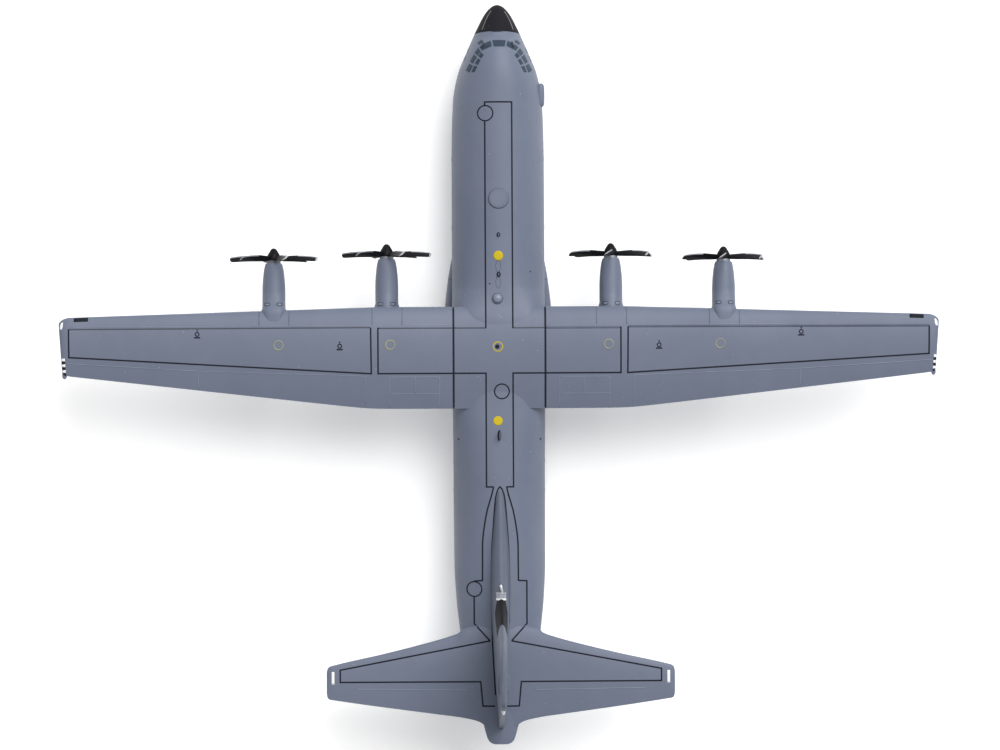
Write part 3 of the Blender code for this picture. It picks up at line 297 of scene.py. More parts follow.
def piece(name, bm, finishes, body="airframe", stands_for=()):
    """A finished object from a bmesh, painted and riding on its body."""
    mesh = bpy.data.meshes.new(name)
    bm.to_mesh(mesh)
    bm.free()
    for finish in finishes:
        mesh.materials.append(bpy.data.materials[finish])
    mesh.shade_smooth()
    mesh.set_sharp_from_angle(angle=SHARP_ANGLE)
    obj = bpy.data.objects.new(name, mesh)
    bpy.context.scene.collection.objects.link(obj)
    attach(obj, body)
    if stands_for:
        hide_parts(*stands_for)
    return obj


def box_bm(low, high, round_by=0.0):
    """A box between two corners in millimetres, with its edges rounded if asked."""
    bm = bmesh.new()
    bmesh.ops.create_cube(bm, size=1.0)
    low, high = Vector(low) * MM, Vector(high) * MM
    bmesh.ops.scale(bm, vec=high - low, verts=bm.verts[:])
    bmesh.ops.translate(bm, vec=(low + high) / 2, verts=bm.verts[:])
    if round_by:
        bmesh.ops.bevel(bm, geom=bm.edges[:], offset=round_by * MM, segments=2, affect="EDGES", profile=0.5,
                        material=-1)
    return bm


def cut(target, cutters):
    """Cuts the bmesh shapes out of an object for good."""
    helpers = []
    for number, bm in enumerate(cutters):
        mesh = bpy.data.meshes.new(f"cutter {number}")
        tidy(bm).to_mesh(mesh)
        bm.free()
        helper = bpy.data.objects.new(mesh.name, mesh)
        bpy.context.scene.collection.objects.link(helper)
        modifier = target.modifiers.new(helper.name, "BOOLEAN")
        modifier.operation = "DIFFERENCE"
        modifier.object = helper
        helpers.append(helper)
    bpy.context.view_layer.update()
    graph = bpy.context.evaluated_depsgraph_get()
    done = bpy.data.meshes.new_from_object(target.evaluated_get(graph))
    target.modifiers.clear()
    old = target.data
    target.data = done
    done.name = old.name
    bpy.data.meshes.remove(old)
    for helper in helpers:
        bpy.data.objects.remove(helper)
    done.shade_smooth()
    done.set_sharp_from_angle(angle=SHARP_ANGLE)


def turned(bm, points, sides, centre, axis):
    """Spins (radius, along) points, in millimetres, round an axis through centre."""
    axis = Vector(axis)
    across = axis.orthogonal().normalized()
    verts = [bm.verts.new(centre + (across * r + axis * a) * MM) for r, a in points]
    edges = [bm.edges.new(pair) for pair in zip(verts, verts[1:])]
    bmesh.ops.spin(
        bm, geom=verts + edges, cent=centre, axis=axis, angle=2 * math.pi, steps=sides, use_merge=True
    )
    return bm


def lathe(points, sides, centre, axis):
    """A closed turned shape."""
    return tidy(turned(bmesh.new(), points, sides, centre, axis))


def rod(bm, start, end, radius, sides=28):
    """A round bar with rounded ends, between two places in millimetres."""
    start, end = Vector(start), Vector(end)
    length = (end - start).length
    rounding = ((0, 0), (0.5, 0.07), (0.87, 0.3), (1.0, 0.6))
    points = [(radius * out, radius * along) for out, along in rounding]
    points += [(r, length - along) for r, along in reversed(points)]
    return turned(bm, points, sides, start * MM, (end - start).normalized())


def bulge(place, half_sizes, segments=40, rings=24):
    """An ellipsoid, in millimetres."""
    bm = bmesh.new()
    bmesh.ops.create_uvsphere(bm, u_segments=segments, v_segments=rings, radius=MM)
    scale = Matrix.Diagonal((*half_sizes, 1.0))
    bmesh.ops.transform(bm, matrix=Matrix.Translation(Vector(place) * MM) @ scale, verts=bm.verts[:])
    return bm


# A blade antenna's sections, as shares of its height, and how it narrows, rounds off and leans back
ANTENNA_LEVELS, ANTENNA_SIDES = (0.0, 0.35, 0.6, 0.78, 0.9, 0.97, 1.0), 24
ANTENNA_TAPER, ANTENNA_ROUNDING, ANTENNA_LEAN = 0.3, 0.4, 0.27


def blade_fin(x, y, low, height, length, half_width):
    """A blade antenna: lens-shaped sections that lean back as they rise."""
    rings = []
    for share in ANTENNA_LEVELS:
        scale = 1 - ANTENNA_TAPER * share - ANTENNA_ROUNDING * share**8
        front = y + length / 2 - ANTENNA_LEAN * length * share
        reach, wide = length * scale / 2, half_width * scale
        rings.append([
            Vector((x + wide * math.sin(a), front - reach + reach * math.cos(a), low + height * share)) * MM
            for a in (2 * math.pi * i / ANTENNA_SIDES for i in range(ANTENNA_SIDES))
        ])
    return loft(rings)


# Printing and panel lines, laid on the surfaces


class Skin:
    """The surface of some finished pieces, for laying lines and patches on it."""

    def __init__(self, *objects):
        bm = bmesh.new()
        for obj in objects:
            bm.from_mesh(obj.data)
        self.tree = BVHTree.FromBMesh(bm)
        bm.free()

    def touch(self, point, towards, lift):
        """The first place that is met from point, lifted off the surface, or None."""
        place, normal, _, _ = self.tree.ray_cast(point, towards, 1.0)
        if place is None:
            return None
        if normal.dot(towards) > 0:
            normal = -normal
        return place + normal * lift * MM


TOP_PIECES = (
    "fuselage_skin", "centre_section", "wing_panel_left", "wing_panel_right", "tailplane_half_left",
    "tailplane_half_right",
)
INK_LIFT = 0.012
RAY_START = 0.1
# The mitre of a sharp corner stops growing here, as the cosine of half its turn
MITRE_LIMIT = 0.35


def skin_of(*names):
    """The joint surface of the named pieces."""
    return Skin(*(bpy.data.objects[name] for name in names))


class Ink:
    """Collects thin conforming strips and patches of one ink or one raised line into one piece."""

    def __init__(self, skin, towards=DOWN):
        self.bm = bmesh.new()
        self.skin = skin
        self.towards = Vector(towards)
        self.from_side = self.towards.x != 0

    def lay(self, a, b):
        """Maps (x, y), or (z, y) from the side, in millimetres, to a place on the skin."""
        point = Vector((0, b, a)) if self.from_side else Vector((a, b, 0))
        return self.skin.touch(point * MM - self.towards * RAY_START, self.towards, INK_LIFT)

    def fill_grid(self, columns, rows, place_at):
        """A grid of faces whose points are laid where place_at puts them."""
        grid = bmesh.ops.create_grid(self.bm, x_segments=columns, y_segments=rows, size=1.0)["verts"]
        lost = []
        for vert in grid:
            u, v = (vert.co.x + 1) / 2, (vert.co.y + 1) / 2
            place = self.lay(*place_at(u, v))
            if place is None:
                lost.append(vert)
            else:
                vert.co = place
        bmesh.ops.delete(self.bm, geom=lost, context="VERTS")

    def line(self, points, width, closed=False, step=0.5):
        """A strip along a path of points, with mitred corners."""
        path = [Vector(p) for p in points]
        if closed:
            path.append(path[0].copy())
        dense, corners = [], []
        for a, b in zip(path, path[1:]):
            count = max(1, math.ceil((b - a).length / step))
            for i in range(count):
                dense.append(a.lerp(b, i / count))
        dense.append(path[-1])
        for i, point in enumerate(dense):
            before = dense[i - 1] if i else (dense[-2] if closed else point)
            after = dense[i + 1] if i + 1 < len(dense) else (dense[1] if closed else point)
            one = (point - before).normalized() if (point - before).length else (after - point).normalized()
            two = (after - point).normalized() if (after - point).length else one
            normal = Vector((-(one + two).y, (one + two).x)).normalized()
            spread = 1 / max(MITRE_LIMIT, normal.dot(Vector((-one.y, one.x))))
            corners.append(normal * spread * width / 2)
        last = len(dense) - 1

        def place_at(u, v):
            i = round(u * last)
            return tuple(dense[i] + corners[i] * (2 * v - 1))

        self.fill_grid(last, 1, place_at)

    def patch(self, outline, rows=3, step=0.35):
        """A filled shape that its middle sees all of."""
        path = [Vector(p) for p in outline] + [Vector(outline[0])]
        middle = sum(path[:-1], Vector((0, 0))) / (len(path) - 1)
        dense = []
        for a, b in zip(path, path[1:]):
            count = max(1, math.ceil((b - a).length / step))
            dense += [a.lerp(b, i / count) for i in range(count)]
        dense.append(path[-1])
        last = len(dense) - 1
        self.fill_grid(last, rows, lambda u, v: tuple(middle.lerp(dense[round(u * last)], v)))

    def pair(self, points, width):
        """The same line on both sides."""
        self.line(points, width)
        self.line(mirrored(points), width)

    def bar(self, x, y, width, height):
        """A filled rectangle round a middle point."""
        w, h = width / 2, height / 2
        self.patch([(x - w, y - h), (x + w, y - h), (x + w, y + h), (x - w, y + h)])

    def ring(self, x, y, radius, width, count=48):
        """A circle drawn as a line."""
        self.line(round_path(x, y, radius, count), width, closed=True)

    def disc(self, x, y, radius, count=40):
        """A filled circle."""
        self.patch(round_path(x, y, radius, count), rows=4)

    def done(self, name, finish, thickness=0.02):
        """Makes the piece of all that was drawn, and gives it its thickness."""
        for face in tidy(self.bm).faces:
            if face.normal.dot(self.towards) > 0:
                face.normal_flip()
        solid = piece(name, self.bm, [finish]).modifiers.new("thickness", "SOLIDIFY")
        solid.thickness = thickness * MM
        solid.offset = 1


def round_path(x, y, radius, count=48):
    """Points round a circle."""
    return [
        (x + radius * math.cos(2 * math.pi * i / count), y + radius * math.sin(2 * math.pi * i / count))
        for i in range(count)
    ]


def rounded(points, radius, steps=3):
    """An outline with its corners rounded."""
    path = [Vector(p) for p in points]
    out = []
    for i, corner in enumerate(path):
        before = (path[i - 1] - corner).normalized() * radius
        after = (path[(i + 1) % len(path)] - corner).normalized() * radius
        for t in (step / steps for step in range(steps + 1)):
            out.append(tuple(corner + before * (1 - t) ** 2 + after * t * t))
    return out


def mirrored(points):
    """The same path on the other side."""
    return [(-x, y) for x, y in points]


# Finishes


class Sheet:
    """A short way to lay out the nodes of a material or a group."""

    def __init__(self, tree):
        self.tree = tree
        tree.nodes.clear()

    def node(self, kind, inputs=(), **settings):
        """A node with its settings, each input linked to a socket or set to a value."""
        made = self.tree.nodes.new(kind)
        for key, value in settings.items():
            setattr(made, key, value)
        for key, value in dict(inputs).items():
            if isinstance(value, bpy.types.NodeSocket):
                self.tree.links.new(value, made.inputs[key])
            else:
                made.inputs[key].default_value = value
        return made

    def blend(self, amount, low, high):
        """A mix of two colours."""
        return self.node("ShaderNodeMix", {0: amount, 6: low, 7: high}, data_type="RGBA").outputs[2]

    def between(self, value, low, high, to_low=0.0, to_high=1.0):
        """A value's place between low and high, spread from to_low to to_high."""
        made = self.node(
            "ShaderNodeMapRange",
            {"Value": value, "From Min": low, "From Max": high, "To Min": to_low, "To Max": to_high},
        )
        return made.outputs["Result"]

    def maths(self, operation, a, b):
        """One step of arithmetic."""
        return self.node("ShaderNodeMath", {0: a, 1: b}, operation=operation).outputs[0]


def new_group(name, inputs):
    """The sheet of a new shader node group, with its input and output nodes."""
    group = bpy.data.node_groups.new(name, "ShaderNodeTree")
    for label, kind, value in inputs:
        socket = group.interface.new_socket(label, in_out="INPUT", socket_type=kind)
        socket.default_value = value
    for label, kind in EFFECT_OUTPUTS:
        group.interface.new_socket(label, in_out="OUTPUT", socket_type=kind)
    sheet = Sheet(group)
    return sheet, sheet.node("NodeGroupInput"), sheet.node("NodeGroupOutput")


COLOUR, NUMBER = "NodeSocketColor", "NodeSocketFloat"
EFFECT_OUTPUTS = [("Colour", COLOUR), ("Roughness", NUMBER), ("Height", NUMBER)]
SPECK_COLOUR = (0.52, 0.55, 0.58, 1.0)


def finish_group(sheet, out, colour, rough, height):
    """Links the three results of an effect to its group's outputs."""
    for label, socket in (("Colour", colour), ("Roughness", rough), ("Height", height)):
        sheet.tree.links.new(socket, out.inputs[label])


def build_sprayed_group():
    """Sprayed paint: soft mottling, fine orange peel, and a dusting of lighter specks."""
    s, given, out = new_group(
        "Sprayed paint",
        [("Colour", COLOUR, (0.2, 0.2, 0.2, 1)), ("Shade", COLOUR, (0.15, 0.15, 0.15, 1)),
         ("Roughness", NUMBER, 0.5), ("Peel", NUMBER, 0.5), ("Specks", NUMBER, 0.5)],
    )
    place = s.node("ShaderNodeTexCoord").outputs["Object"]
    cloud = s.node("ShaderNodeTexNoise", {"Vector": place, "Scale": 45.0, "Detail": 5.0, "Roughness": 0.6})
    drift = s.node("ShaderNodeTexNoise", {"Vector": place, "Scale": 260.0, "Detail": 4.0})
    grain = s.node("ShaderNodeTexNoise", {"Vector": place, "Scale": 2600.0, "Detail": 2.0})
    dust = s.node("ShaderNodeTexVoronoi", {"Vector": place, "Scale": 900.0}, feature="F1")
    mottle = s.maths("ADD", s.between(cloud.outputs["Fac"], 0.35, 0.68, 0.0, 0.6),
                     s.between(drift.outputs["Fac"], 0.3, 0.7, 0.0, 0.4))
    base = s.blend(mottle, given.outputs["Colour"], given.outputs["Shade"])
    speck = s.maths("MULTIPLY", s.between(dust.outputs["Distance"], 0.16, 0.05), given.outputs["Specks"])
    speck = s.maths("MULTIPLY", speck, s.between(drift.outputs["Fac"], 0.58, 0.66))
    rough = s.maths("ADD", given.outputs["Roughness"], s.between(cloud.outputs["Fac"], 0.3, 0.7, -0.05, 0.06))
    rough = s.maths("ADD", rough, s.maths("MULTIPLY", speck, 0.2))
    peel = s.maths("MULTIPLY", grain.outputs["Fac"], given.outputs["Peel"])
    height = s.maths("ADD", peel, s.maths("MULTIPLY", drift.outputs["Fac"], 0.5))
    finish_group(s, out, s.blend(speck, base, SPECK_COLOUR), rough, height)


def build_bright_metal_group():
    """Turned or cast bright metal: fine streaks and dull patches."""
    s, given, out = new_group(
        "Bright metal",
        [("Colour", COLOUR, (0.6, 0.6, 0.6, 1)), ("Dull", COLOUR, (0.3, 0.3, 0.3, 1)),
         ("Roughness", NUMBER, 0.3), ("Streak Scale", NUMBER, 900.0)],
    )
    place = s.node("ShaderNodeTexCoord").outputs["Object"]
    long_way = s.node("ShaderNodeMapping", {"Vector": place, "Scale": (1.0, 0.12, 1.0)}).outputs["Vector"]
    streak = s.node("ShaderNodeTexNoise",
                    {"Vector": long_way, "Scale": given.outputs["Streak Scale"], "Detail": 6.0})
    patch = s.node("ShaderNodeTexNoise", {"Vector": place, "Scale": 320.0, "Detail": 4.0})
    dull = s.between(patch.outputs["Fac"], 0.48, 0.7, 0.0, 0.8)
    colour = s.blend(dull, given.outputs["Colour"], given.outputs["Dull"])
    rough = s.maths("ADD", given.outputs["Roughness"], s.between(streak.outputs["Fac"], 0.3, 0.7, -0.08, 0.1))
    rough = s.maths("ADD", rough, s.maths("MULTIPLY", dull, 0.18))
    finish_group(s, out, colour, rough, streak.outputs["Fac"])


def finish(name, group_name, values, bump_mm, **shader_values):
    """A material: one effect group feeding a Principled shader whose constants are its own."""
    material = bpy.data.materials.new(name)
    material.use_nodes = True
    s = Sheet(material.node_tree)
    shader = s.node("ShaderNodeBsdfPrincipled")
    out = s.node("ShaderNodeOutputMaterial")
    s.tree.links.new(shader.outputs["BSDF"], out.inputs["Surface"])
    effect = s.node("ShaderNodeGroup", node_tree=bpy.data.node_groups[group_name])
    for key, value in values.items():
        effect.inputs[key].default_value = value
    s.tree.links.new(effect.outputs["Colour"], shader.inputs["Base Color"])
    s.tree.links.new(effect.outputs["Roughness"], shader.inputs["Roughness"])
    bump = s.node("ShaderNodeBump",
                  {"Strength": 1.0, "Distance": bump_mm * MM, "Height": effect.outputs["Height"]})
    s.tree.links.new(bump.outputs["Normal"], shader.inputs["Normal"])
    for key, value in shader_values.items():
        shader.inputs[key.replace("_", " ")].default_value = value


def scaled(colour, share):
    """A lighter or darker kind of a colour."""
    return tuple(min(1.0, part * share) for part in colour[:3]) + (1.0,)


def paint(name, colour, shade, roughness, peel, specks, bump_mm, **shader_values):
    """A finish of the sprayed or printed kind."""
    values = {"Colour": colour, "Shade": shade, "Roughness": roughness, "Peel": peel, "Specks": specks}
    finish(name, "Sprayed paint", values, bump_mm, **shader_values)


def metal(name, colour, dull, roughness, bump_mm, metallic):
    """A finish of the bright metal kind."""
    values = {"Colour": colour, "Dull": dull, "Roughness": roughness}
    finish(name, "Bright metal", values, bump_mm, Metallic=metallic)


def colour_input(name, words, value):
    """A colour for a group of properties."""
    return bpy.props.FloatVectorProperty(
        name=name, description=words, subtype="COLOR", size=4, min=0.0, max=1.0, default=value
    )


def length_input(name, words, millimetres):
    """A length for a group of properties."""
    return bpy.props.FloatProperty(
        name=name, description=words, subtype="DISTANCE", unit="LENGTH", default=millimetres * MM, precision=5
    )


class PlanePaint(bpy.types.PropertyGroup):
    """Colours of the paint, the printing and the bare pieces."""

    grey: colour_input("Grey", "Blue-grey body paint", (0.133, 0.153, 0.209, 1.0))
    grey_shade: colour_input("Grey shade", "Darker mottling in the body paint", (0.116, 0.138, 0.191, 1.0))
    black: colour_input("Black", "Radome, blades and de-icing boot", (0.011, 0.011, 0.014, 1.0))
    glass: colour_input("Glass", "Printed window panes", (0.032, 0.052, 0.072, 1.0))
    yellow: colour_input("Yellow", "Printed discs on the crown", (0.5, 0.39, 0.012, 1.0))
    olive: colour_input("Olive", "Faint rings on the wings", (0.3, 0.28, 0.13, 1.0))
    silver: colour_input("Silver", "Landing gear legs and other bare metal", (0.62, 0.62, 0.63, 1.0))


class PlaneLines(bpy.types.PropertyGroup):
    """Widths of the printed and raised lines, and of the black joint and painted shadow at the fin's foot."""

    ink_width: length_input("Ink width", "Width of the printed walkway lines", 0.34)
    # The black line round the fin's foot is its joint with the fuselage, with the shadow in it painted in
    foot_shadow_width: length_input("Foot width", "Width of the black joint and painted shadow round the fin's foot", 0.32)
    panel_width: length_input("Panel width", "Width of the raised panel lines", 0.16)


class PlaneStage(bpy.types.PropertyGroup):
    """The floor, the lights and the camera."""

    camera_height: length_input("Camera height", "Height of the camera over the floor", 1000.0)
    focal_length: bpy.props.FloatProperty(
        name="Focal length", description="Lens on a 36 mm wide sensor, in millimetres", default=152.2
    )
    floor: colour_input("Floor", "Pale floor", (0.9, 0.9, 0.9, 1.0))
    key_power: bpy.props.FloatProperty(
        name="Key power", description="Power of the largest light", subtype="POWER", default=28.5
    )


class PLANE_OT_finishes(bpy.types.Operator):
    """Mix the paints, inks, rubber and metal"""

    bl_idname = "plane.finishes"
    bl_label = "Finishes"

    def execute(self, context):
        chosen = context.scene.plane_paint
        build_sprayed_group()
        build_bright_metal_group()
        grey, shade, black = tuple(chosen.grey), tuple(chosen.grey_shade), tuple(chosen.black)
        # Name, colour, shade, roughness, peel, specks and bump depth in millimetres
        paint("Grey paint", grey, shade, 0.46, 0.6, 0.35, 0.012, Specular_IOR_Level=0.25)
        # The fin's grey is the body grey darkened to 0.8: painted shade on the fin's sides
        paint("Fin paint", scaled(grey, 0.8), scaled(shade, 0.8), 0.5, 0.6, 0.35, 0.012,
              Specular_IOR_Level=0.2)
        # Raised lines and vent floors are the body grey lightened by half: a painted highlight
        paint("Raised line", scaled(grey, 1.5), grey, 0.42, 0.4, 0.0, 0.004)
        paint("Seam shade", scaled(grey, 0.42), scaled(grey, 0.3), 0.6, 0.3, 0.0, 0.004)
        paint("Worn ink", scaled(grey, 0.8), scaled(grey, 0.5), 0.6, 0.5, 0.0, 0.003, Specular_IOR_Level=0.1)
        # The beacon's grey is the body grey lightened: a painted highlight on its cap
        paint("Pale grey paint", scaled(grey, 1.35), grey, 0.36, 0.4, 0.0, 0.006)
        paint("Black paint", black, (0.016, 0.016, 0.02, 1), 0.55, 0.8, 0.12, 0.012, Specular_IOR_Level=0.05)
        paint("Blade black", scaled(black, 0.5), (0.008, 0.008, 0.01, 1), 0.45, 0.5, 0.1, 0.006,
              Specular_IOR_Level=0.1)
        paint("Blade edge", (0.4, 0.41, 0.44, 1), (0.3, 0.31, 0.34, 1), 0.35, 0.3, 0.1, 0.003, Metallic=0.2)
        # Black is the colour of the print, and also paints the shadow in the wing roots' gaps, under the
        # antennas and at the fin's foot
        paint("Black ink", (0.012, 0.013, 0.02, 1), (0.014, 0.016, 0.024, 1), 0.6, 0.5, 0.02, 0.003,
              Specular_IOR_Level=0.08)
        paint("Yellow ink", tuple(chosen.yellow), (0.44, 0.33, 0.01, 1), 0.5, 0.5, 0.05, 0.003,
              Specular_IOR_Level=0.15)
        paint("Olive ink", tuple(chosen.olive), grey, 0.5, 0.4, 0.05, 0.003)
        paint("White ink", (0.78, 0.79, 0.8, 1), (0.68, 0.69, 0.7, 1), 0.45, 0.5, 0.0, 0.003,
              Specular_IOR_Level=0.3)
        paint("Window print", tuple(chosen.glass), (0.026, 0.04, 0.064, 1), 0.4, 0.25, 0.02, 0.004,
              Specular_IOR_Level=0.15)
        paint("Tyre rubber", (0.02, 0.02, 0.021, 1), (0.033, 0.032, 0.031, 1), 0.72, 1.0, 0.2, 0.02)
        paint("Faded silver", (0.16, 0.16, 0.17, 1), (0.1, 0.1, 0.11, 1), 0.5, 0.4, 0.3, 0.003)
        paint("Frosted collar", (0.3, 0.32, 0.36, 1), (0.2, 0.22, 0.26, 1), 0.3, 0.5, 0.3, 0.006,
              Coat_Weight=0.4)
        paint("Hub paint", (0.5, 0.52, 0.54, 1), (0.4, 0.42, 0.44, 1), 0.4, 0.5, 0.1, 0.006)
        paint("Lamp lens", (0.7, 0.72, 0.75, 1), (0.6, 0.62, 0.66, 1), 0.12, 0.1, 0.0, 0.002, Coat_Weight=0.6)
        # Name, colour, dull colour, roughness, bump depth in millimetres and metallic share
        metal("Silver", tuple(chosen.silver), (0.42, 0.42, 0.44, 1), 0.28, 0.004, 1.0)
        metal("Jet pipe metal", (0.3, 0.28, 0.27, 1), (0.12, 0.11, 0.1, 1), 0.42, 0.008, 1.0)
        metal("Lip metal", (0.2, 0.21, 0.24, 1), (0.07, 0.075, 0.09, 1), 0.5, 0.004, 0.4)
        metal("Tinted metal", (0.03, 0.036, 0.05, 1), (0.012, 0.016, 0.026, 1), 0.45, 0.004, 0.3)
        return {"FINISHED"}


# Fuselage, radome and wings

RADOME_GAP = 0.05
TAIL_STEPS = (0.0, 0.08, 0.25, 0.5, 0.8, 1.2, 1.8, 2.6, 3.6, 4.8, 6.2)
# The hull's other stations, as (from, to, count)
HULL_SPANS = (
    (-78, -20, 44), (-14, 8, 6), (9, 24, 21), (28, 56, 7), (58, RADOME_BASE_Y - RADOME_GAP, 40),
)
# The wheel wells: along the length, out from the middle, and their roofs
NOSE_WELL_Y, NOSE_WELL_HALF, NOSE_WELL_ROOF = (66.3, 74.1), 3.0, 7.6
MAIN_WELL_Y, MAIN_WELL_X, MAIN_WELL_ROOF = (0.95, 16.65), (8.1, 12.1), 7.75
WELL_FLOOR, WELL_ROUNDING = -2.0, 0.2


class PLANE_OT_fuselage(bpy.types.Operator):
    """Cast fuselage with the wing's centre section and its wheel wells"""

    bl_idname = "plane.fuselage"
    bl_label = "Fuselage"

    def execute(self, context):
        stations = [TAIL_Y + step for step in TAIL_STEPS]
        for span in HULL_SPANS:
            stations += spaced(*span)
        hull = loft([slanted_ring(y) for y in stations])
        skin = piece("fuselage_skin", hull, ["Grey paint"], stands_for=["fuselage"])
        cut(skin, well_shapes())
        half = WING_ROOT_X - ROOT_GAP / 2
        piece("centre_section", loft([wing_ring(half, -1), wing_ring(half, 1)]), ["Grey paint"])
        return {"FINISHED"}


def well_shapes():
    """The boxes that open the nose well and the two main wells."""
    boxes = [(-NOSE_WELL_HALF, NOSE_WELL_HALF, *NOSE_WELL_Y, NOSE_WELL_ROOF)]
    for side, _ in SIDES:
        boxes.append((*sorted(side * x for x in MAIN_WELL_X), *MAIN_WELL_Y, MAIN_WELL_ROOF))
    return [
        box_bm((left, rear, WELL_FLOOR), (right, front, roof), WELL_ROUNDING)
        for left, right, rear, front, roof in boxes
    ]


RADOME_STEPS = 28
# The light strips on the radome and the black tab behind it, from above
LEFT_STRIP = [(-1.43, 84.4), (-2.05, 83.38), (-2.64, 82.19), (-3.14, 81.0), (-3.57, 79.81)]
RIGHT_STRIP = [(1.69, 84.23), (2.3, 83.2), (2.83, 82.18), (3.3, 81.0), (3.71, 79.79)]
STRIP_WIDTH = 0.15
RADOME_TAB = [(-1.85, 79.72), (1.6, 79.72), (1.55, 79.2), (-1.8, 79.2)]


class PLANE_OT_radome(bpy.types.Operator):
    """Black radome with its two light strips"""

    bl_idname = "plane.radome"
    bl_label = "Radome"

    def execute(self, context):
        reach = NOSE_Y - RADOME_BASE_Y
        turns = spaced(0, math.pi / 2, RADOME_STEPS + 1)
        stations = [NOSE_Y - reach * (1 - math.cos(turn)) for turn in turns]
        dome = loft([slanted_ring(y) for y in stations])
        piece("radome_shell", dome, ["Black paint"], stands_for=["radome"])
        strips = Ink(skin_of("radome_shell"))
        for strip in (LEFT_STRIP, RIGHT_STRIP):
            strips.line(strip, STRIP_WIDTH)
        strips.done("radome_strips", "Faded silver")
        tab = Ink(skin_of("fuselage_skin"))
        tab.patch(RADOME_TAB, rows=5)
        tab.done("radome_tab", "Black paint")
        return {"FINISHED"}


# How the wing's tip rounds off: distance from the tip and share of the thickness
TIP_SECTIONS = (
    (2.6, 1.0), (2.2, 1.0), (1.8, 0.99), (1.4, 0.97), (1.05, 0.93), (0.75, 0.86), (0.5, 0.76), (0.3, 0.62),
    (0.15, 0.46), (0.05, 0.28), (0.0, 0.12),
)
# Painted shade: a black filler sits in each root gap, this far clear of the panels' faces and this much
# thinner than the wing
GAP_SHADE_CLEARANCE, GAP_SHADE_THINNESS = 0.01, 0.97


class PLANE_OT_wings(bpy.types.Operator):
    """Left and right wing panels, and black fillers that paint the shade in the gaps at their roots"""

    bl_idname = "plane.wings"
    bl_label = "Wings"

    def execute(self, context):
        root = WING_ROOT_X + ROOT_GAP / 2
        gap_shade_ends = (WING_ROOT_X - ROOT_GAP / 2 + GAP_SHADE_CLEARANCE, root - GAP_SHADE_CLEARANCE)
        for side, name in SIDES:
            rings = [wing_ring(x, side) for x in spaced(root, WING_TIP_X - TIP_ROUNDING, 56)]
            for back, thin in TIP_SECTIONS:
                slant = TIP_SLANT * (TIP_ROUNDING - back) / TIP_ROUNDING
                rings.append(wing_ring(WING_TIP_X - back, side, slant, thin))
            piece(f"wing_panel_{name}", loft(rings), ["Grey paint"], stands_for=[f"wing_{name}"])
            # A black filler in the root gap paints the shade inside it
            gap_shade = loft([wing_ring(x, side, thin=GAP_SHADE_THINNESS) for x in gap_shade_ends])
            piece(f"wing_root_seam_{name}", gap_shade, ["Black ink"])
        return {"FINISHED"}


# Engines

# Where each propeller's shaft crosses its plane of blades, from the left
ENGINE_PLACES = ((-52.1, 26.7, 20.4), (-26.0, 27.6, 19.3), (26.0, 27.6, 19.3), (52.1, 26.7, 20.4))
OUTER_ENGINES = (1, 4)
HUB_BACK, SET_BACK = 0.3, 0.1
LIP_LENGTH, LIP_DROP = 0.62, 1.6
# The nacelles against the distance behind their lip
nacelle_half_width = fair([
    (0.0, 1.48), (0.1, 1.57), (0.56, 1.62), (0.64, 1.7), (0.72, 1.85), (0.86, 1.96), (1.3, 2.1), (2.2, 2.29),
    (3.4, 2.44), (5.0, 2.58), (7.0, 2.66), (10.9, 2.66), (11.3, 2.72), (11.7, 2.93), (12.1, 2.9), (12.9, 2.7),
    (14.0, 2.66), (20.0, 2.45), (25.0, 1.9), (28.0, 1.4),
])
nacelle_rise = fair([
    (0.0, 1.48), (0.1, 1.57), (0.56, 1.62), (0.64, 1.7), (0.72, 1.82), (0.86, 1.92), (1.6, 2.17), (3.6, 2.6),
    (7.5, 3.1), (11.5, 3.55), (28.0, 3.6),
])
nacelle_drop = fair([
    (0.0, 1.5), (0.3, 2.0), (0.55, 2.65), (0.8, 3.15), (1.2, 3.6), (2.0, 4.0), (4.0, 4.3), (9.0, 4.35),
    (15.0, 3.6), (21.0, 2.1), (28.0, 0.2),
])
# The outer ones swell to a saddle on top of the wing, and the inner ones to a low ridge
saddle_swell = fair([
    (7.5, 0.0), (9.5, 0.25), (11.0, 0.95), (11.7, 1.24), (12.4, 1.33), (14.3, 1.32), (15.0, 1.1), (16.0, 0.4),
    (18.0, 0.0),
])
ridge_swell = fair([(9.0, 0.0), (11.0, 0.3), (11.8, 0.44), (12.4, 0.44), (13.2, 0.2), (15.0, 0.0)])
saddle_power = fair([(7.5, 2.1), (11.5, 3.8)])
NACELLE_POWER, CHIN_POWER, NACELLE_SIDES = 2.1, 2.2, 56
NACELLE_BACKS = [
    0.0, 0.04, 0.1, 0.3, 0.5, 0.57, 0.62, 0.67, 0.72, 0.79, 0.88, 1.0, 1.2, 1.5, 1.9, 2.4, 3.0, 3.8, 4.8, 6.0,
] + spaced(7, 27.6, 42)
# Behind the saddle a nacelle ends inside the wing, this high over its shaft, where a box trims it
SADDLE_END, HIDDEN_TOP = 14.4, 3.4
TRIM_HALF_WIDTH, TRIM_BACK, TRIM_TOP = 5, 33, 9
INTAKE_DROP, INTAKE_SECTIONS = 2.55, ((1.25, 0.5, -1.0), (1.25, 0.5, 1.2), (1.0, 0.35, 2.3))
# The two top vents: how far out they sit, and their frame and floor as (half width, rear, front, rounding)
VENT_SHIFT, VENT_LINE = 1.42, 0.24
VENT_FRAME, VENT_FLOOR = (0.55, 15.8, 16.4, 0.2), (0.42, 15.86, 16.36, 0.12)


def nacelle_front(number):
    """Where the nacelle's lip lies."""
    return ENGINE_PLACES[number - 1][1] - HUB_BACK - SET_BACK


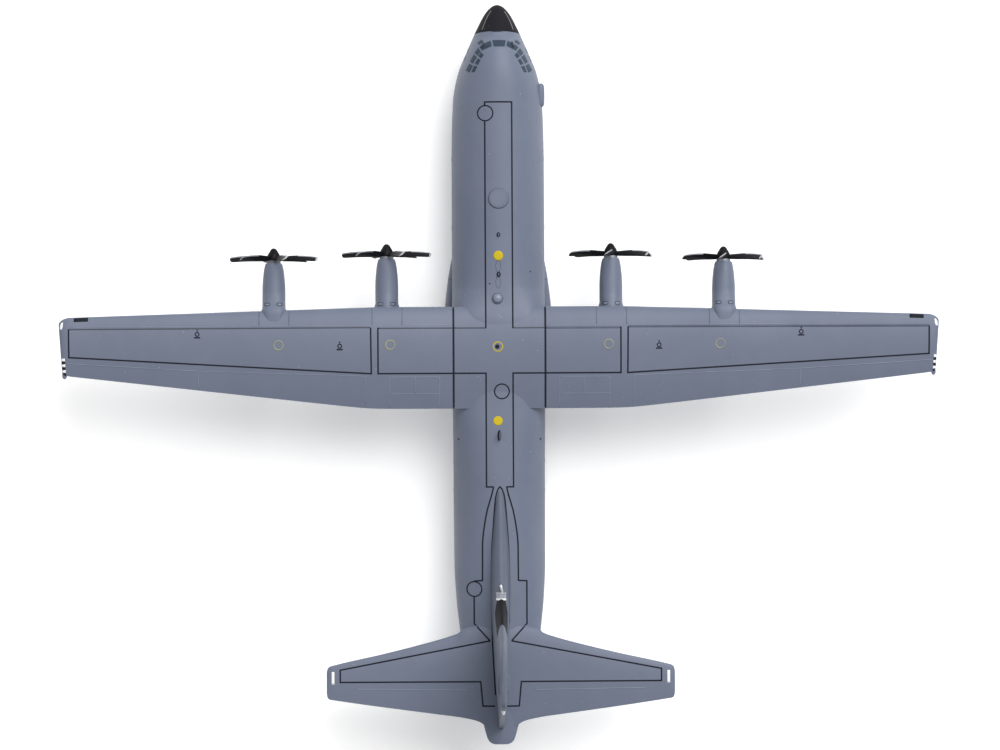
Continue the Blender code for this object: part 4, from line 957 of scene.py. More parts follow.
def nacelle_ring(number, back):
    """A section of a nacelle behind its lip."""
    x, _, z = ENGINE_PLACES[number - 1]
    outer = number in OUTER_ENGINES
    rise = nacelle_rise(back) + (saddle_swell(back) if outer else ridge_swell(back))
    power = saddle_power(back) if outer else NACELLE_POWER
    return power_ring(x, z, nacelle_half_width(back), rise, nacelle_drop(back), power, CHIN_POWER,
                      nacelle_front(number) - back, NACELLE_SIDES)


def vent_outline(middle, half, rear, front, rounding):
    """The rounded outline of a vent's frame or floor."""
    left, right = middle - half, middle + half
    return rounded([(left, rear), (right, rear), (right, front), (left, front)], rounding)


class PLANE_OT_nacelles(bpy.types.Operator):
    """Four nacelles with bright lips, chin intakes and their top vents"""

    bl_idname = "plane.nacelles"
    bl_label = "Nacelles"

    def execute(self, context):
        for number, (x, _, z) in enumerate(ENGINE_PLACES, 1):
            front = nacelle_front(number)
            body = loft([nacelle_ring(number, back) for back in NACELLE_BACKS])
            for face in body.faces:
                middle = face.calc_center_median() / MM
                at_lip = front - middle.y < LIP_LENGTH and middle.z > z - LIP_DROP
                face.material_index = int(at_lip)
            shell = piece(f"nacelle_shell_{number}", body, ["Grey paint", "Lip metal"],
                          stands_for=[f"nacelle_{number}"])
            intake = loft([
                power_ring(x, z - INTAKE_DROP, w, h, h, 2.0, 2.0, front - back, 28)
                for w, h, back in INTAKE_SECTIONS
            ])
            top = box_bm((x - TRIM_HALF_WIDTH, front - TRIM_BACK, z + HIDDEN_TOP),
                         (x + TRIM_HALF_WIDTH, front - SADDLE_END, z + TRIM_TOP))
            cut(shell, [intake, top])
            vents, slots = Ink(Skin(shell)), Ink(Skin(shell))
            for middle in (x - VENT_SHIFT, x + VENT_SHIFT):
                vents.line(vent_outline(middle, *VENT_FRAME), VENT_LINE, closed=True, step=0.15)
                slots.patch(vent_outline(middle, *VENT_FLOOR))
            vents.done(f"nacelle_vents_{number}", "Seam shade")
            # The vent floors take the lightened grey, a painted highlight
            slots.done(f"nacelle_vent_floors_{number}", "Raised line", 0.008)
        return {"FINISHED"}


# Blades and spinner: chord and sweep against radius, spinner radius against the distance from its tip
blade_chord = fair([
    (1.0, 1.25), (1.8, 1.35), (3.0, 1.55), (5.0, 1.8), (7.0, 1.95), (8.6, 2.0), (9.8, 1.95), (10.15, 1.85),
    (10.35, 1.6), (10.45, 1.3), (10.5, 0.9),
])
blade_sweep = fair([
    (1.0, 0.0), (3.0, 0.05), (6.0, 0.15), (8.0, 0.05), (9.5, -0.15), (10.2, -0.25), (10.5, -0.35),
])
spinner_radius = fair([
    (0.0, 0.0), (0.05, 0.3), (0.22, 0.56), (0.46, 0.76), (0.85, 1.0), (1.2, 1.22), (1.6, 1.42), (2.0, 1.54),
    (2.45, 1.6),
])
SPINNER_LENGTH, SPINNER_STEPS, SPINNER_CROWDING = 2.45, 22, 1.6
# The hub behind the spinner, and the shaft: (radius, along) from the shaft's place
HUB_PROFILE = [(1.6, -0.05), (1.6, -0.22), (1.47, -HUB_BACK), (0.6, -HUB_BACK), (0.6, -3.1), (0.0, -3.1)]
PROP_RADIUS, BLADE_COUNT, BLADE_SIDES = 10.5, 6, 24
# The blades' turn at rest, in degrees, from the left
PROP_PHASES = (-12.0, -8.0, 24.0, 25.0)
BLADE_RADII = spaced(1.0, 9.0, 18) + [9.35, 9.65, 9.9, 10.08, 10.2, 10.3, 10.38, 10.44, 10.48, PROP_RADIUS]
ROOT_PITCH, PITCH_LOSS = 58, 24
ROOT_THICKNESS, THICKNESS_LOSS = 0.44, 0.2
# The silver edge: where it starts, and how far ahead of mid-chord it lies behind, in front and at the tip
EDGE_START, EDGE_AHEAD_BEHIND, EDGE_AHEAD, TIP_START = 5.8, 0.75, 0.4, 10.0
# The blades' front faces lie ahead of this height over mid-thickness
FRONT_DEPTH = -0.03


def blade_pitch(radius):
    """How far a blade's section turns from the plane of the blades."""
    return math.radians(ROOT_PITCH - PITCH_LOSS * radius / PROP_RADIUS)


def blade_ring(radius):
    """A section of a blade that points along +X, with its shaft along Y; its first point leads."""
    pitch = blade_pitch(radius)
    half, thick = blade_chord(radius) / 2, ROOT_THICKNESS - THICKNESS_LOSS * radius / PROP_RADIUS
    ring = []
    for i in range(BLADE_SIDES):
        angle = 2 * math.pi * i / BLADE_SIDES
        along = blade_sweep(radius) + half * math.cos(angle)
        across = thick / 2 * math.sin(angle) * (1 + 0.35 * math.cos(angle))
        y = along * math.sin(pitch) + across * math.cos(pitch)
        z = across * math.sin(pitch) - along * math.cos(pitch)
        ring.append(Vector((radius, y, z)) * MM)
    return ring


def is_silver(face):
    """True on the front of a blade's tip and of the leading edge along its outer half."""
    middle = face.calc_center_median() / MM
    if middle.x < EDGE_START:
        return False
    pitch = blade_pitch(middle.x)
    along = middle.y * math.sin(pitch) - middle.z * math.cos(pitch)
    ahead = (along - blade_sweep(middle.x)) / (blade_chord(middle.x) / 2)
    in_front = middle.y * math.cos(pitch) + middle.z * math.sin(pitch) > FRONT_DEPTH
    return ahead > EDGE_AHEAD_BEHIND or (in_front and (middle.x > TIP_START or ahead > EDGE_AHEAD))


class PLANE_OT_propellers(bpy.types.Operator):
    """Four six-bladed propellers with spinners and silver blade edges"""

    bl_idname = "plane.propellers"
    bl_label = "Propellers"

    def execute(self, context):
        backs = [SPINNER_LENGTH * (i / SPINNER_STEPS) ** SPINNER_CROWDING for i in range(SPINNER_STEPS + 1)]
        profile = [(spinner_radius(back), SPINNER_LENGTH - back) for back in backs] + HUB_PROFILE
        for number, place in enumerate(ENGINE_PLACES, 1):
            centre = Vector(place) * MM
            bm = lathe(profile, 56, centre, ALONG)
            for blade in range(BLADE_COUNT):
                part = loft([blade_ring(radius) for radius in BLADE_RADII])
                for face in part.faces:
                    face.material_index = int(is_silver(face))
                degrees = PROP_PHASES[number - 1] + 360 / BLADE_COUNT * blade
                turn = Matrix.Rotation(math.radians(degrees), 4, "Y")
                bmesh.ops.transform(part, matrix=Matrix.Translation(centre) @ turn, verts=part.verts[:])
                holder = bpy.data.meshes.new("blade")
                part.to_mesh(holder)
                part.free()
                bm.from_mesh(holder)
                bpy.data.meshes.remove(holder)
            piece(f"propeller_set_{number}", bm, ["Blade black", "Blade edge"], f"prop_{number}",
                  [f"propeller_{number}"])
        return {"FINISHED"}


# Tail

TAILPLANE_Z, TAILPLANE_ROUNDING_X, TAILPLANE_TIP_X = 21.9, 38.6, 40.3
TAILPLANE_EDGE, TAILPLANE_THICKNESS, TAILPLANE_THINNING, TAILPLANE_THINNEST = 0.15, 0.12, 0.02, 0.02
TAILPLANE_STATIONS = spaced(0.2, 14, 30) + spaced(15, TAILPLANE_ROUNDING_X, 22)
TAILPLANE_STATIONS += [39.0, 39.35, 39.65, 39.9, 40.1, 40.22, TAILPLANE_TIP_X]
TAILPLANE_POINTS, FIN_POINTS = 25, 33
FIN_LEVELS = spaced(22.2, 31.0, 30) + spaced(31.6, 43.4, 14) + [44.0] + spaced(45, 57, 16)
FIN_LEVELS += [57.4, 57.8, 58.2, 58.5, 58.75, 58.95, 59.1, 59.2]
# The black boot on the fin's leading edge
BOOT_LOW_Z, BOOT_HIGH_Z, BOOT_SHARE = 31.0, 44.0, 0.13

# The tailplane's edges, against the distance out from the middle
tail_leading = fair([
    (0.0, -57.5), (8.0, -58.9), (9.2, -59.5), (9.6, -59.95), (10.5, -60.4), (12.0, -60.9), (15.05, -61.8),
    (27.0, -64.8), (38.6, -67.4), (39.6, -67.7), (40.1, -68.2), (40.3, -69.1),
])
tail_trailing = fair([
    (0.0, -83.5), (4.0, -81.3), (5.2, -80.6), (6.5, -80.2), (10.05, -79.5), (14.9, -78.85), (38.6, -75.5),
    (39.7, -75.3), (40.15, -74.8), (40.3, -73.8),
])
# The fin against its height
fin_leading = fair([
    (22.2, -25.5), (23.2, -27.5), (24.0, -31.0), (25.0, -35.0), (26.0, -38.7), (27.0, -42.0),
    (28.0, -45.0), (29.0, -47.4), (30.0, -49.3), (31.5, -51.2), (34.0, -52.9), (40.0, -55.4),
    (50.0, -59.2), (55.0, -61.2), (57.0, -62.4), (58.3, -64.0), (59.0, -66.0), (59.2, -68.0),
])
fin_trailing = fair([(22.2, -82.3), (57.0, -75.1), (58.3, -74.6), (59.0, -73.9), (59.2, -73.0)])
fin_half_thickness = fair([
    (22.2, 2.3), (23.4, 2.08), (25.0, 1.9), (28.0, 1.68), (31.5, 1.55), (40.0, 1.35), (50.0, 1.05),
    (57.0, 0.8), (58.6, 0.55), (59.2, 0.25),
])
fin_half_edge = fair([(22.2, 0.5), (57.0, 0.5), (58.6, 0.38), (59.2, 0.2)])
# The dorsal fillet's width against the length, as a share
dorsal_slimness = fair([
    (-52.0, 1.0), (-44.0, 0.93), (-39.6, 0.86), (-35.4, 0.77), (-29.0, 0.74), (-26.0, 0.74),
])


def tailplane_ring(x, side):
    """A section of the tailplane, thinned towards its round tip."""
    past = max(0.0, (x - TAILPLANE_ROUNDING_X) / (TAILPLANE_TIP_X - TAILPLANE_ROUNDING_X))
    thin = math.sqrt(max(TAILPLANE_THINNEST, 1 - past * past))
    ratio = (TAILPLANE_THICKNESS - TAILPLANE_THINNING * x / TAILPLANE_TIP_X) * thin
    outline = aerofoil(tail_leading(x), tail_trailing(x), TAILPLANE_EDGE, ratio, 0.0, TAILPLANE_POINTS)
    return [Vector((side * x, y, TAILPLANE_Z + rise)) * MM for y, rise in outline]


def fin_ring(z):
    """A level section of the fin."""
    leading, trailing = fin_leading(z), fin_trailing(z)
    ratio = 2 * fin_half_thickness(z) / (leading - trailing)
    outline = aerofoil(leading, trailing, fin_half_edge(z), ratio, 0.0, FIN_POINTS)
    return [Vector((across * dorsal_slimness(y), y, z)) * MM for y, across in outline]


class PLANE_OT_tail(bpy.types.Operator):
    """Tailplane halves and the fin with its dorsal fillet and black boot"""

    bl_idname = "plane.tail"
    bl_label = "Tail"

    def execute(self, context):
        for side, name in SIDES:
            plane = loft([tailplane_ring(x, side) for x in TAILPLANE_STATIONS])
            piece(f"tailplane_half_{name}", plane, ["Grey paint"], stands_for=[f"tailplane_{name}"])
        fin = loft([fin_ring(z) for z in FIN_LEVELS])
        for face in fin.faces:
            middle = face.calc_center_median() / MM
            leading, trailing = fin_leading(middle.z), fin_trailing(middle.z)
            back = (leading - middle.y) / (leading - trailing)
            face.material_index = int(BOOT_LOW_Z < middle.z < BOOT_HIGH_Z and back < BOOT_SHARE)
        # The fin takes the darkened grey, a painted shade
        piece("fin_casting", fin, ["Fin paint", "Black paint"], stands_for=["fin"])
        return {"FINISHED"}


# Landing gear

SPONSON_X, SPONSON_Z, SPONSON_REAR_Y, SPONSON_FRONT_Y = 7.6, 6.9, -22, 29
SPONSON_TOP_POWER, SPONSON_BOTTOM_POWER, SPONSON_SIDES = 2.6, 2.8, 56
sponson_outer = fair([
    (-22.0, 9.9), (-19.5, 10.3), (-16.0, 10.5), (-12.0, 10.6), (-8.5, 10.75), (-5.0, 11.4), (-1.5, 12.35),
    (2.0, 12.6), (14.0, 12.55), (18.0, 12.2), (22.0, 11.7), (26.0, 11.0), (29.0, 10.2),
])
sponson_half_height = fair([
    (-22.0, 0.8), (-16.0, 2.0), (-8.0, 3.3), (0.0, 3.85), (16.0, 3.85), (22.0, 3.3), (29.0, 0.8),
])


def sponson_ring(y, side):
    """A section of a main gear fairing."""
    half_height = sponson_half_height(y)
    return power_ring(side * SPONSON_X, SPONSON_Z, sponson_outer(y) - SPONSON_X, half_height, half_height,
                      SPONSON_TOP_POWER, SPONSON_BOTTOM_POWER, y, SPONSON_SIDES)


class PLANE_OT_gear_fairings(bpy.types.Operator):
    """Main gear fairings along the barrel's sides"""

    bl_idname = "plane.gear_fairings"
    bl_label = "Gear fairings"

    def execute(self, context):
        for side, name in SIDES:
            fairing = loft([sponson_ring(y, side) for y in spaced(SPONSON_REAR_Y, SPONSON_FRONT_Y, 60)])
            obj = piece(f"gear_fairing_{name}", fairing, ["Grey paint"], stands_for=[f"sponson_{name}"])
            cut(obj, well_shapes()[1:])
        return {"FINISHED"}


def both_halves(points):
    """A (radius, along) profile with its mirror image behind it."""
    return points + [(radius, -along) for radius, along in reversed(points)]


# A tyre's bead and widest place, as shares, and its grooves' place, depth and half widths
BEAD_SHARE, WALL_SHARE, GROOVE_SHARE, GROOVE_DEPTH = 0.86, 0.3, 0.45, 0.08
GROOVE_HALF_TOP, GROOVE_HALF_BOTTOM = 0.07, 0.03


def tyre_profile(outer, inner, half, shoulder):
    """Sidewalls, round shoulders and a lightly grooved tread, round a wheel's axle."""
    points = [(inner, half * BEAD_SHARE), (inner + (outer - inner) * WALL_SHARE, half)]
    for turn in spaced(math.pi / 2, 0, 11):
        points.append(
            (outer - shoulder + shoulder * math.cos(turn), half - shoulder + shoulder * math.sin(turn))
        )
    groove, bottom = GROOVE_SHARE * half, outer - GROOVE_DEPTH
    points += [(outer, groove + GROOVE_HALF_TOP), (bottom, groove + GROOVE_HALF_BOTTOM)]
    points += [(bottom, groove - GROOVE_HALF_BOTTOM), (outer, groove - GROOVE_HALF_TOP)]
    return both_halves(points) + points[:1]


# Profiles round the wheels' axles, as (radius, along)
MAIN_TYRE, NOSE_TYRE = tyre_profile(3.55, 2.05, 1.05, 0.6), tyre_profile(2.48, 1.44, 0.75, 0.42)
MAIN_HUB = [
    (0.55, 0.79), (0.62, 0.83), (0.9, 0.79), (1.0, 0.4), (1.5, 0.33), (1.62, 0.45), (1.78, 0.88),
    (1.86, 0.94), (1.98, 0.94), (1.98, -0.94), (0.55, -0.94), (0.55, 0.79),
]
BOLT_COUNT, BOLT_CIRCLE, BOLT_OUT = 8, 1.25, 0.4
BOLT_RADIUS, BOLT_END_RADIUS, BOLT_DEPTH = 0.1, 0.085, 0.16


def middle_of(node):
    """The middle of a solid's box."""
    low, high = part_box(node)
    return (low + high) / 2


def add_bolts(hub, centre, side):
    """A circle of six-sided bolt heads on a hub's face."""
    for bolt in range(BOLT_COUNT):
        turn = 2 * math.pi * bolt / BOLT_COUNT
        offset = Vector((side * BOLT_OUT, BOLT_CIRCLE * math.cos(turn), BOLT_CIRCLE * math.sin(turn)))
        bmesh.ops.create_cone(
            hub, cap_ends=True, segments=6, radius1=BOLT_RADIUS * MM, radius2=BOLT_END_RADIUS * MM,
            depth=BOLT_DEPTH * MM,
            matrix=Matrix.Translation(centre + offset * MM) @ Matrix.Rotation(side * math.pi / 2, 4, "Y"),
        )


class PLANE_OT_wheels(bpy.types.Operator):
    """Main and nose wheels: grooved tyres, dished hubs and their bolts"""

    bl_idname = "plane.wheels"
    bl_label = "Wheels"

    def execute(self, context):
        for side, name in SIDES:
            axle = (side, 0, 0)
            for corner in (f"{name}_front", f"{name}_rear"):
                centre = middle_of(f"tyre_{corner}")
                tyre = lathe(MAIN_TYRE, 56, centre, axle)
                piece(f"main_tyre_{corner}", tyre, ["Tyre rubber"], f"wheel_{corner}", [f"tyre_{corner}"])
                hub = lathe(MAIN_HUB, 48, centre, axle)
                add_bolts(hub, centre, side)
                piece(f"main_hub_{corner}", hub, ["Hub paint"], f"wheel_{corner}", [f"hub_{corner}"])
            tyre = lathe(NOSE_TYRE, 48, middle_of(f"nose_tyre_{name}"), axle)
            piece(f"nose_rubber_{name}", tyre, ["Tyre rubber"], "nose_wheels", [f"nose_tyre_{name}"])
        return {"FINISHED"}


# Windows: the front pane and one side's other panes from above, and the low panes, (z, y), from the side

PRINT_SHIFT = 0.33
FRONT_ROUNDING, PANE_ROUNDING, CHEEK_ROUNDING = 0.1, 0.08, 0.15
FRONT_PANE = [(-1.6, 77.2), (1.6, 77.2), (1.25, 75.62), (-1.25, 75.62)]
PANES = (
    [(1.93, 77.08), (3.19, 76.6), (4.6, 75.64), (3.93, 74.74), (1.66, 75.73)],
    [(5.04, 76.72), (4.0, 77.5), (3.6, 76.87), (4.64, 76.2)],
    [(5.72, 74.35), (4.88, 75.48), (4.21, 74.52), (5.04, 73.58)],
    [(4.86, 73.54), (4.2, 74.35), (3.54, 73.67), (4.2, 72.84)],
    [(6.79, 72.28), (5.88, 74.04), (5.14, 73.27), (6.05, 71.77)],
    [(5.66, 71.7), (4.92, 73.0), (4.31, 72.47), (4.94, 71.35)],
    [(7.76, 70.35), (6.95, 71.86), (6.1, 71.31), (6.86, 69.68)],
    [(6.44, 69.8), (5.8, 71.31), (5.05, 70.98), (5.78, 69.68)],
)
CHEEK_PANES = (
    [(15.4, 74.6), (15.2, 75.9), (13.7, 75.9), (13.7, 74.6)],
    [(15.6, 72.6), (15.4, 74.0), (13.9, 74.0), (13.9, 72.6)],
)


class PLANE_OT_windows(bpy.types.Operator):
    """Printed flight deck windows"""

    bl_idname = "plane.windows"
    bl_label = "Windows"

    def execute(self, context):
        skin = skin_of("fuselage_skin")
        glass = Ink(skin)
        glass.patch(rounded([(PRINT_SHIFT + x, y) for x, y in FRONT_PANE], FRONT_ROUNDING), rows=6)
        for pane in PANES:
            for side, _ in SIDES:
                outline = [(PRINT_SHIFT + side * x, y) for x, y in pane]
                glass.patch(rounded(outline, PANE_ROUNDING), rows=6)
        glass.done("flight_deck_windows", "Window print")
        for side, name in SIDES:
            cheek = Ink(skin, (-side, 0, 0))
            for pane in CHEEK_PANES:
                cheek.patch(rounded(pane, CHEEK_ROUNDING), rows=5)
            cheek.done(f"cheek_windows_{name}", "Window print")
        return {"FINISHED"}


# Printing on top of the crown, wings and tail

WALK_HALF, WALK_FRONT_Y, WALK_REAR_Y = 3.12, 62.7, -26.3
SPAR_FRONT_Y, SPAR_REAR_Y, SPAR_OUT_X = 10.45, 0.0, 28.03
ROOT_INSIDE, ROOT_OUTSIDE = 10.4, 10.8
TAIL_CURVE = [
    (1.5, WALK_REAR_Y), (1.95, -28.2), (2.5, -30.0), (2.98, -31.65), (3.45, -34.0), (3.8, -36.3),
    (4.0, -38.0), (4.1, -39.45), (4.15, -47.95), (6.1, -48.1),
]
TAIL_WALK_END = [(6.1, -57.95), (2.5, -61.85)]
# The walkway's left line stops for the front ring, and starts again behind the rear one
RING_BREAK_YS, LEFT_RESTART = (61.87, 58.37), (6.1, -51.66)
WING_BOX = [(29.7, 10.65), (99.1, 10.5), (99.05, 4.05), (29.6, 0.0)]
TAIL_BOX = [
    (2.48, -61.87), (37.16, -68.5), (37.15, -71.32), (4.7, -71.31), (4.2, -76.97), (1.4, -77.0),
]
# The fin's foot, where a black line paints the joint and its shadow; on the left, the shaded side, it runs
# further back
FIN_FOOT = [
    (0.0, -26.2), (0.5, -26.9), (0.85, -27.9), (1.1, -29.1), (1.38, -32.2), (1.6, -35.4), (1.9, -39.6),
    (2.04, -43.9), (2.1, -48.1), (2.0, -51.3), (1.97, -57.6),
]
LEFT_FIN_FOOT_END = [(-1.95, -62.0), (-1.75, -66.0), (-1.3, -74.4)]
# Circles and dots, as (x, y, radius)
CROWN_RINGS = ((-3.0, 60.12, 1.755), (-6.04, -49.95, 1.71), (0.53, -4.22, 1.7))
CROWN_DOTS = ((-2.16, 20.69, 0.16), (7.28, 23.48, 0.16), (-9.5, -15.3, 0.2), (9.5, -15.3, 0.2))
MIDDLE_DOT, MIDDLE_RING = (-0.5, 6.12, 0.5), (-0.37, 6.1, 1.08, 0.24)
YELLOW_DISCS = ((-0.15, 27.15, 1.13), (-0.4, -11.03, 1.09))
# Shares of the ink's width
RING_SHARE, FRONT_SHARE, WORN_SHARE = 0.85, 0.9, 1.4
FILLERS = ((36.83, 6.37), (69.6, 9.25))
# A filler symbol round its middle: the ring's radius, width and points, the dot's height, radius and
# points, the stem's ends and width, and the bar's height and sizes
FILLER_RING, FILLER_DOT = (0.43, 0.24, 28), (0.93, 0.17, 16)
FILLER_STEM, FILLER_BAR = (0.85, 0.5, 0.14), (-0.78, 1.42, 0.33)
# Painted shadow: black lines along the gaps at the wing's roots, as (x, width), and black patches at the
# antennas' feet, as (x, y, length, width)
ROOT_GAP_SHADOWS, ROOT_GAP_SHADOW_ENDS = ((10.79, 0.1), (10.42, 0.08)), (15.2, -7.9)
ANTENNA_FOOT_SHADOWS = ((-0.1, 32.0, 0.55, 0.42), (-0.1, 22.8, 0.62, 0.5), (-0.12, -14.4, 1.25, 0.42))
HEXAGON_X, HEXAGON_YS, HEXAGON_HALF_WIDTH, HEXAGON_HALF_LENGTH = -0.2, (24.75, 20.95), 0.62, 1.25
HEXAGON = ((0.5, 1), (-0.5, 1), (-1, 0), (-0.5, -1), (0.5, -1), (1, 0))


def add_walkway(ink, wide):
    """The walkway's outline along the crown, over the wing and round the fin."""
    break_front, break_rear = RING_BREAK_YS
    ink.line([(WALK_HALF, SPAR_FRONT_Y), (WALK_HALF, WALK_FRONT_Y), (-WALK_HALF, WALK_FRONT_Y),
              (-WALK_HALF, break_front)], wide)
    ink.line([(-WALK_HALF, break_rear), (-WALK_HALF, SPAR_FRONT_Y)], wide)
    ink.pair([(SPAR_OUT_X, SPAR_FRONT_Y + wide / 2), (SPAR_OUT_X, SPAR_REAR_Y),
              (ROOT_OUTSIDE, SPAR_REAR_Y)], wide)
    ink.pair([(ROOT_INSIDE, SPAR_REAR_Y), (WALK_HALF, SPAR_REAR_Y), (WALK_HALF, WALK_REAR_Y),
              TAIL_CURVE[0]], wide)
    ink.pair(TAIL_CURVE, wide)
    x, y = TAIL_CURVE[-1]
    ink.line([(x, y + wide / 2)] + TAIL_WALK_END, wide)
    ink.line(mirrored([LEFT_RESTART] + TAIL_WALK_END), wide)


def add_filler(ink, x, y):
    """A filler symbol: a ring, a dot on a stem over it and a bar under it."""
    ink.ring(x, y, *FILLER_RING)
    rise, radius, count = FILLER_DOT
    ink.disc(x, y + rise, radius, count)
    top, bottom, width = FILLER_STEM
    ink.line([(x, y + top), (x, y + bottom)], width)
    rise, width, height = FILLER_BAR
    ink.bar(x, y + rise, width, height)


class PLANE_OT_crown_printing(bpy.types.Operator):
    """Walkway outline, circles and coloured discs along the crown"""

    bl_idname = "plane.crown_printing"
    bl_label = "Crown printing"

    def execute(self, context):
        lines = context.scene.plane_lines
        wide = lines.ink_width / MM
        skin = skin_of(*TOP_PIECES)
        black = Ink(skin)
        add_walkway(black, wide)
        for x, y, radius in CROWN_RINGS:
            black.ring(x, y, radius, wide * RING_SHARE)
        black.pair(TAIL_BOX, wide)
        black.pair(WING_BOX[1:] + WING_BOX[:1], wide)
        for x, y in FILLERS:
            for side, _ in SIDES:
                add_filler(black, side * x, y)
        black.disc(*MIDDLE_DOT)
        for dot in CROWN_DOTS:
            black.disc(*dot, 16)
        black.done("crown_lines", "Black ink")
        # A black line paints the shadow in the joint at the fin's foot, further back on the shaded left side
        foot = Ink(skin)
        for path in (FIN_FOOT, mirrored(FIN_FOOT) + LEFT_FIN_FOOT_END):
            foot.line(path, lines.foot_shadow_width / MM, step=0.25)
        foot.done("fin_foot_line", "Black ink")
        # The front line is thinner than the others, and worn on the right panel
        thin, worn = Ink(skin), Ink(skin)
        thin.pair([(WALK_HALF - wide / 2, SPAR_FRONT_Y), (ROOT_INSIDE, SPAR_FRONT_Y)], wide * RING_SHARE)
        inner = [(ROOT_OUTSIDE, SPAR_FRONT_Y), (SPAR_OUT_X - wide / 2, SPAR_FRONT_Y)]
        outer = [(WING_BOX[0][0] + wide / 2, WING_BOX[0][1]), WING_BOX[1]]
        for points in (inner, outer):
            thin.line(mirrored(points), wide * FRONT_SHARE)
            worn.line(points, wide * WORN_SHARE)
        thin.done("front_lines", "Seam shade")
        worn.done("worn_front_lines", "Worn ink")
        # Black ink paints the shadow in the wing roots' gaps and under the antennas
        gap_shadow = Ink(skin)
        for x, width in ROOT_GAP_SHADOWS:
            gap_shadow.pair([(x, y) for y in ROOT_GAP_SHADOW_ENDS], width)
        for x, y, length, width in ANTENNA_FOOT_SHADOWS:
            gap_shadow.patch([(x + width * a, y + length * b) for a, b in round_path(0, 0, 1.0, 28)], rows=4)
        gap_shadow.done("wing_root_gaps", "Black ink")
        faint = Ink(skin)
        for y in HEXAGON_YS:
            corners = [(HEXAGON_X + HEXAGON_HALF_WIDTH * a, y + HEXAGON_HALF_LENGTH * b) for a, b in HEXAGON]
            faint.line(corners, 0.09, closed=True)
        faint.done("crown_hexagons", "Seam shade", 0.008)
        yellow = Ink(skin)
        for disc in YELLOW_DISCS:
            yellow.disc(*disc)
        yellow.ring(*MIDDLE_RING)
        yellow.done("crown_discs", "Yellow ink")
        return {"FINISHED"}


# Printing on the wings and the tailplane
OLIVE_RING_XS, OLIVE_RING_Y, OLIVE_RING_RADIUS, OLIVE_RING_WIDTH = (25.2, 50.95), 6.6, 1.05, 0.34
WING_TAB = ((94.65, 13.22), (97.9, 13.05), (97.9, 12.2), (94.65, 12.3))
TIP_LAMP = ((100.35, 12.15), (100.75, 12.0), (101.05, 11.5), (101.15, 10.6), (100.75, 10.35), (100.45, 11.0))
TAIL_LAMP = ((38.5, -68.9), (39.15, -68.9), (39.15, -71.85), (38.5, -71.85))
TAIL_LAMP_ROUNDING = 0.12
# The stripes at the tips' rear edges reach further in on the left
STRIPE_COUNT, STRIPE_FRONT_Y, STRIPE_STEP, STRIPE_HALF = 6, 3.5, 0.66, 0.32
STRIPE_EDGE_X, STRIPE_EDGE_Y, STRIPE_EDGE_SLOPE, STRIPE_SLANT = 100.98, 3.9, 0.062, 0.03
LEFT_STRIPE_REACH, RIGHT_STRIPE_REACH = 0.98, 0.78
# The caps at the tips' rear corners, as (place, half sizes), on the right
CAP_PLACE, CAP_SIZES = (100.15, -0.1, 25.75), (0.55, 0.85, 0.14)


def add_stripes(white, black, side):
    """White and black bars in turn along a wing tip's rear edge."""
    reach = RIGHT_STRIPE_REACH if side > 0 else LEFT_STRIPE_REACH
    for number in range(STRIPE_COUNT):
        y = STRIPE_FRONT_Y - STRIPE_STEP * number
        edge = STRIPE_EDGE_X - STRIPE_EDGE_SLOPE * (STRIPE_EDGE_Y - y)
        corners = ((edge - reach, y + STRIPE_HALF), (edge, y + STRIPE_HALF),
                   (edge - STRIPE_SLANT, y - STRIPE_HALF), (edge - reach - STRIPE_SLANT, y - STRIPE_HALF))
        band = black if number % 2 else white
        band.patch([(side * x, corner_y) for x, corner_y in corners])


class PLANE_OT_wing_printing(bpy.types.Operator):
    """Faint rings, tip lamps, black tabs and striped edges on wings and tailplane"""

    bl_idname = "plane.wing_printing"
    bl_label = "Wing printing"

    def execute(self, context):
        skin = skin_of(*TOP_PIECES)
        olive, black, white = Ink(skin), Ink(skin), Ink(skin)
        for side, _ in SIDES:
            for x in OLIVE_RING_XS:
                olive.ring(side * x, OLIVE_RING_Y, OLIVE_RING_RADIUS, OLIVE_RING_WIDTH)
            black.patch([(side * x, y) for x, y in WING_TAB])
            white.patch([(side * x, y) for x, y in TIP_LAMP])
            add_stripes(white, black, side)
            white.patch(rounded([(side * x, y) for x, y in TAIL_LAMP], TAIL_LAMP_ROUNDING))
        olive.done("wing_rings", "Olive ink", 0.008)
        black.done("wing_tabs", "Black ink", 0.03)
        white.done("tip_marks", "White ink", 0.03)
        for side, name in SIDES:
            x, y, z = CAP_PLACE
            piece(f"tip_trailing_cap_{name}", bulge((side * x, y, z), CAP_SIZES, 24, 16), ["Grey paint"])
        return {"FINISHED"}


# Panel lines: control surfaces and wing panels, on both sides, with their share of the width

FLAP_TOP_Y, FLAP_MIDDLE_Y, FLAP_REAR_Y = -0.85, -4.75, -8.0
FLAP_IN_X, FLAP_SPLIT_X, FLAP_OUT_X = 13.88, 19.5, 25.43
LEADING_LINE_Y, LEADING_SPLITS, SPLIT_START = 11.15, (22.45, 29.36, 48.5, 55.4), 0.25
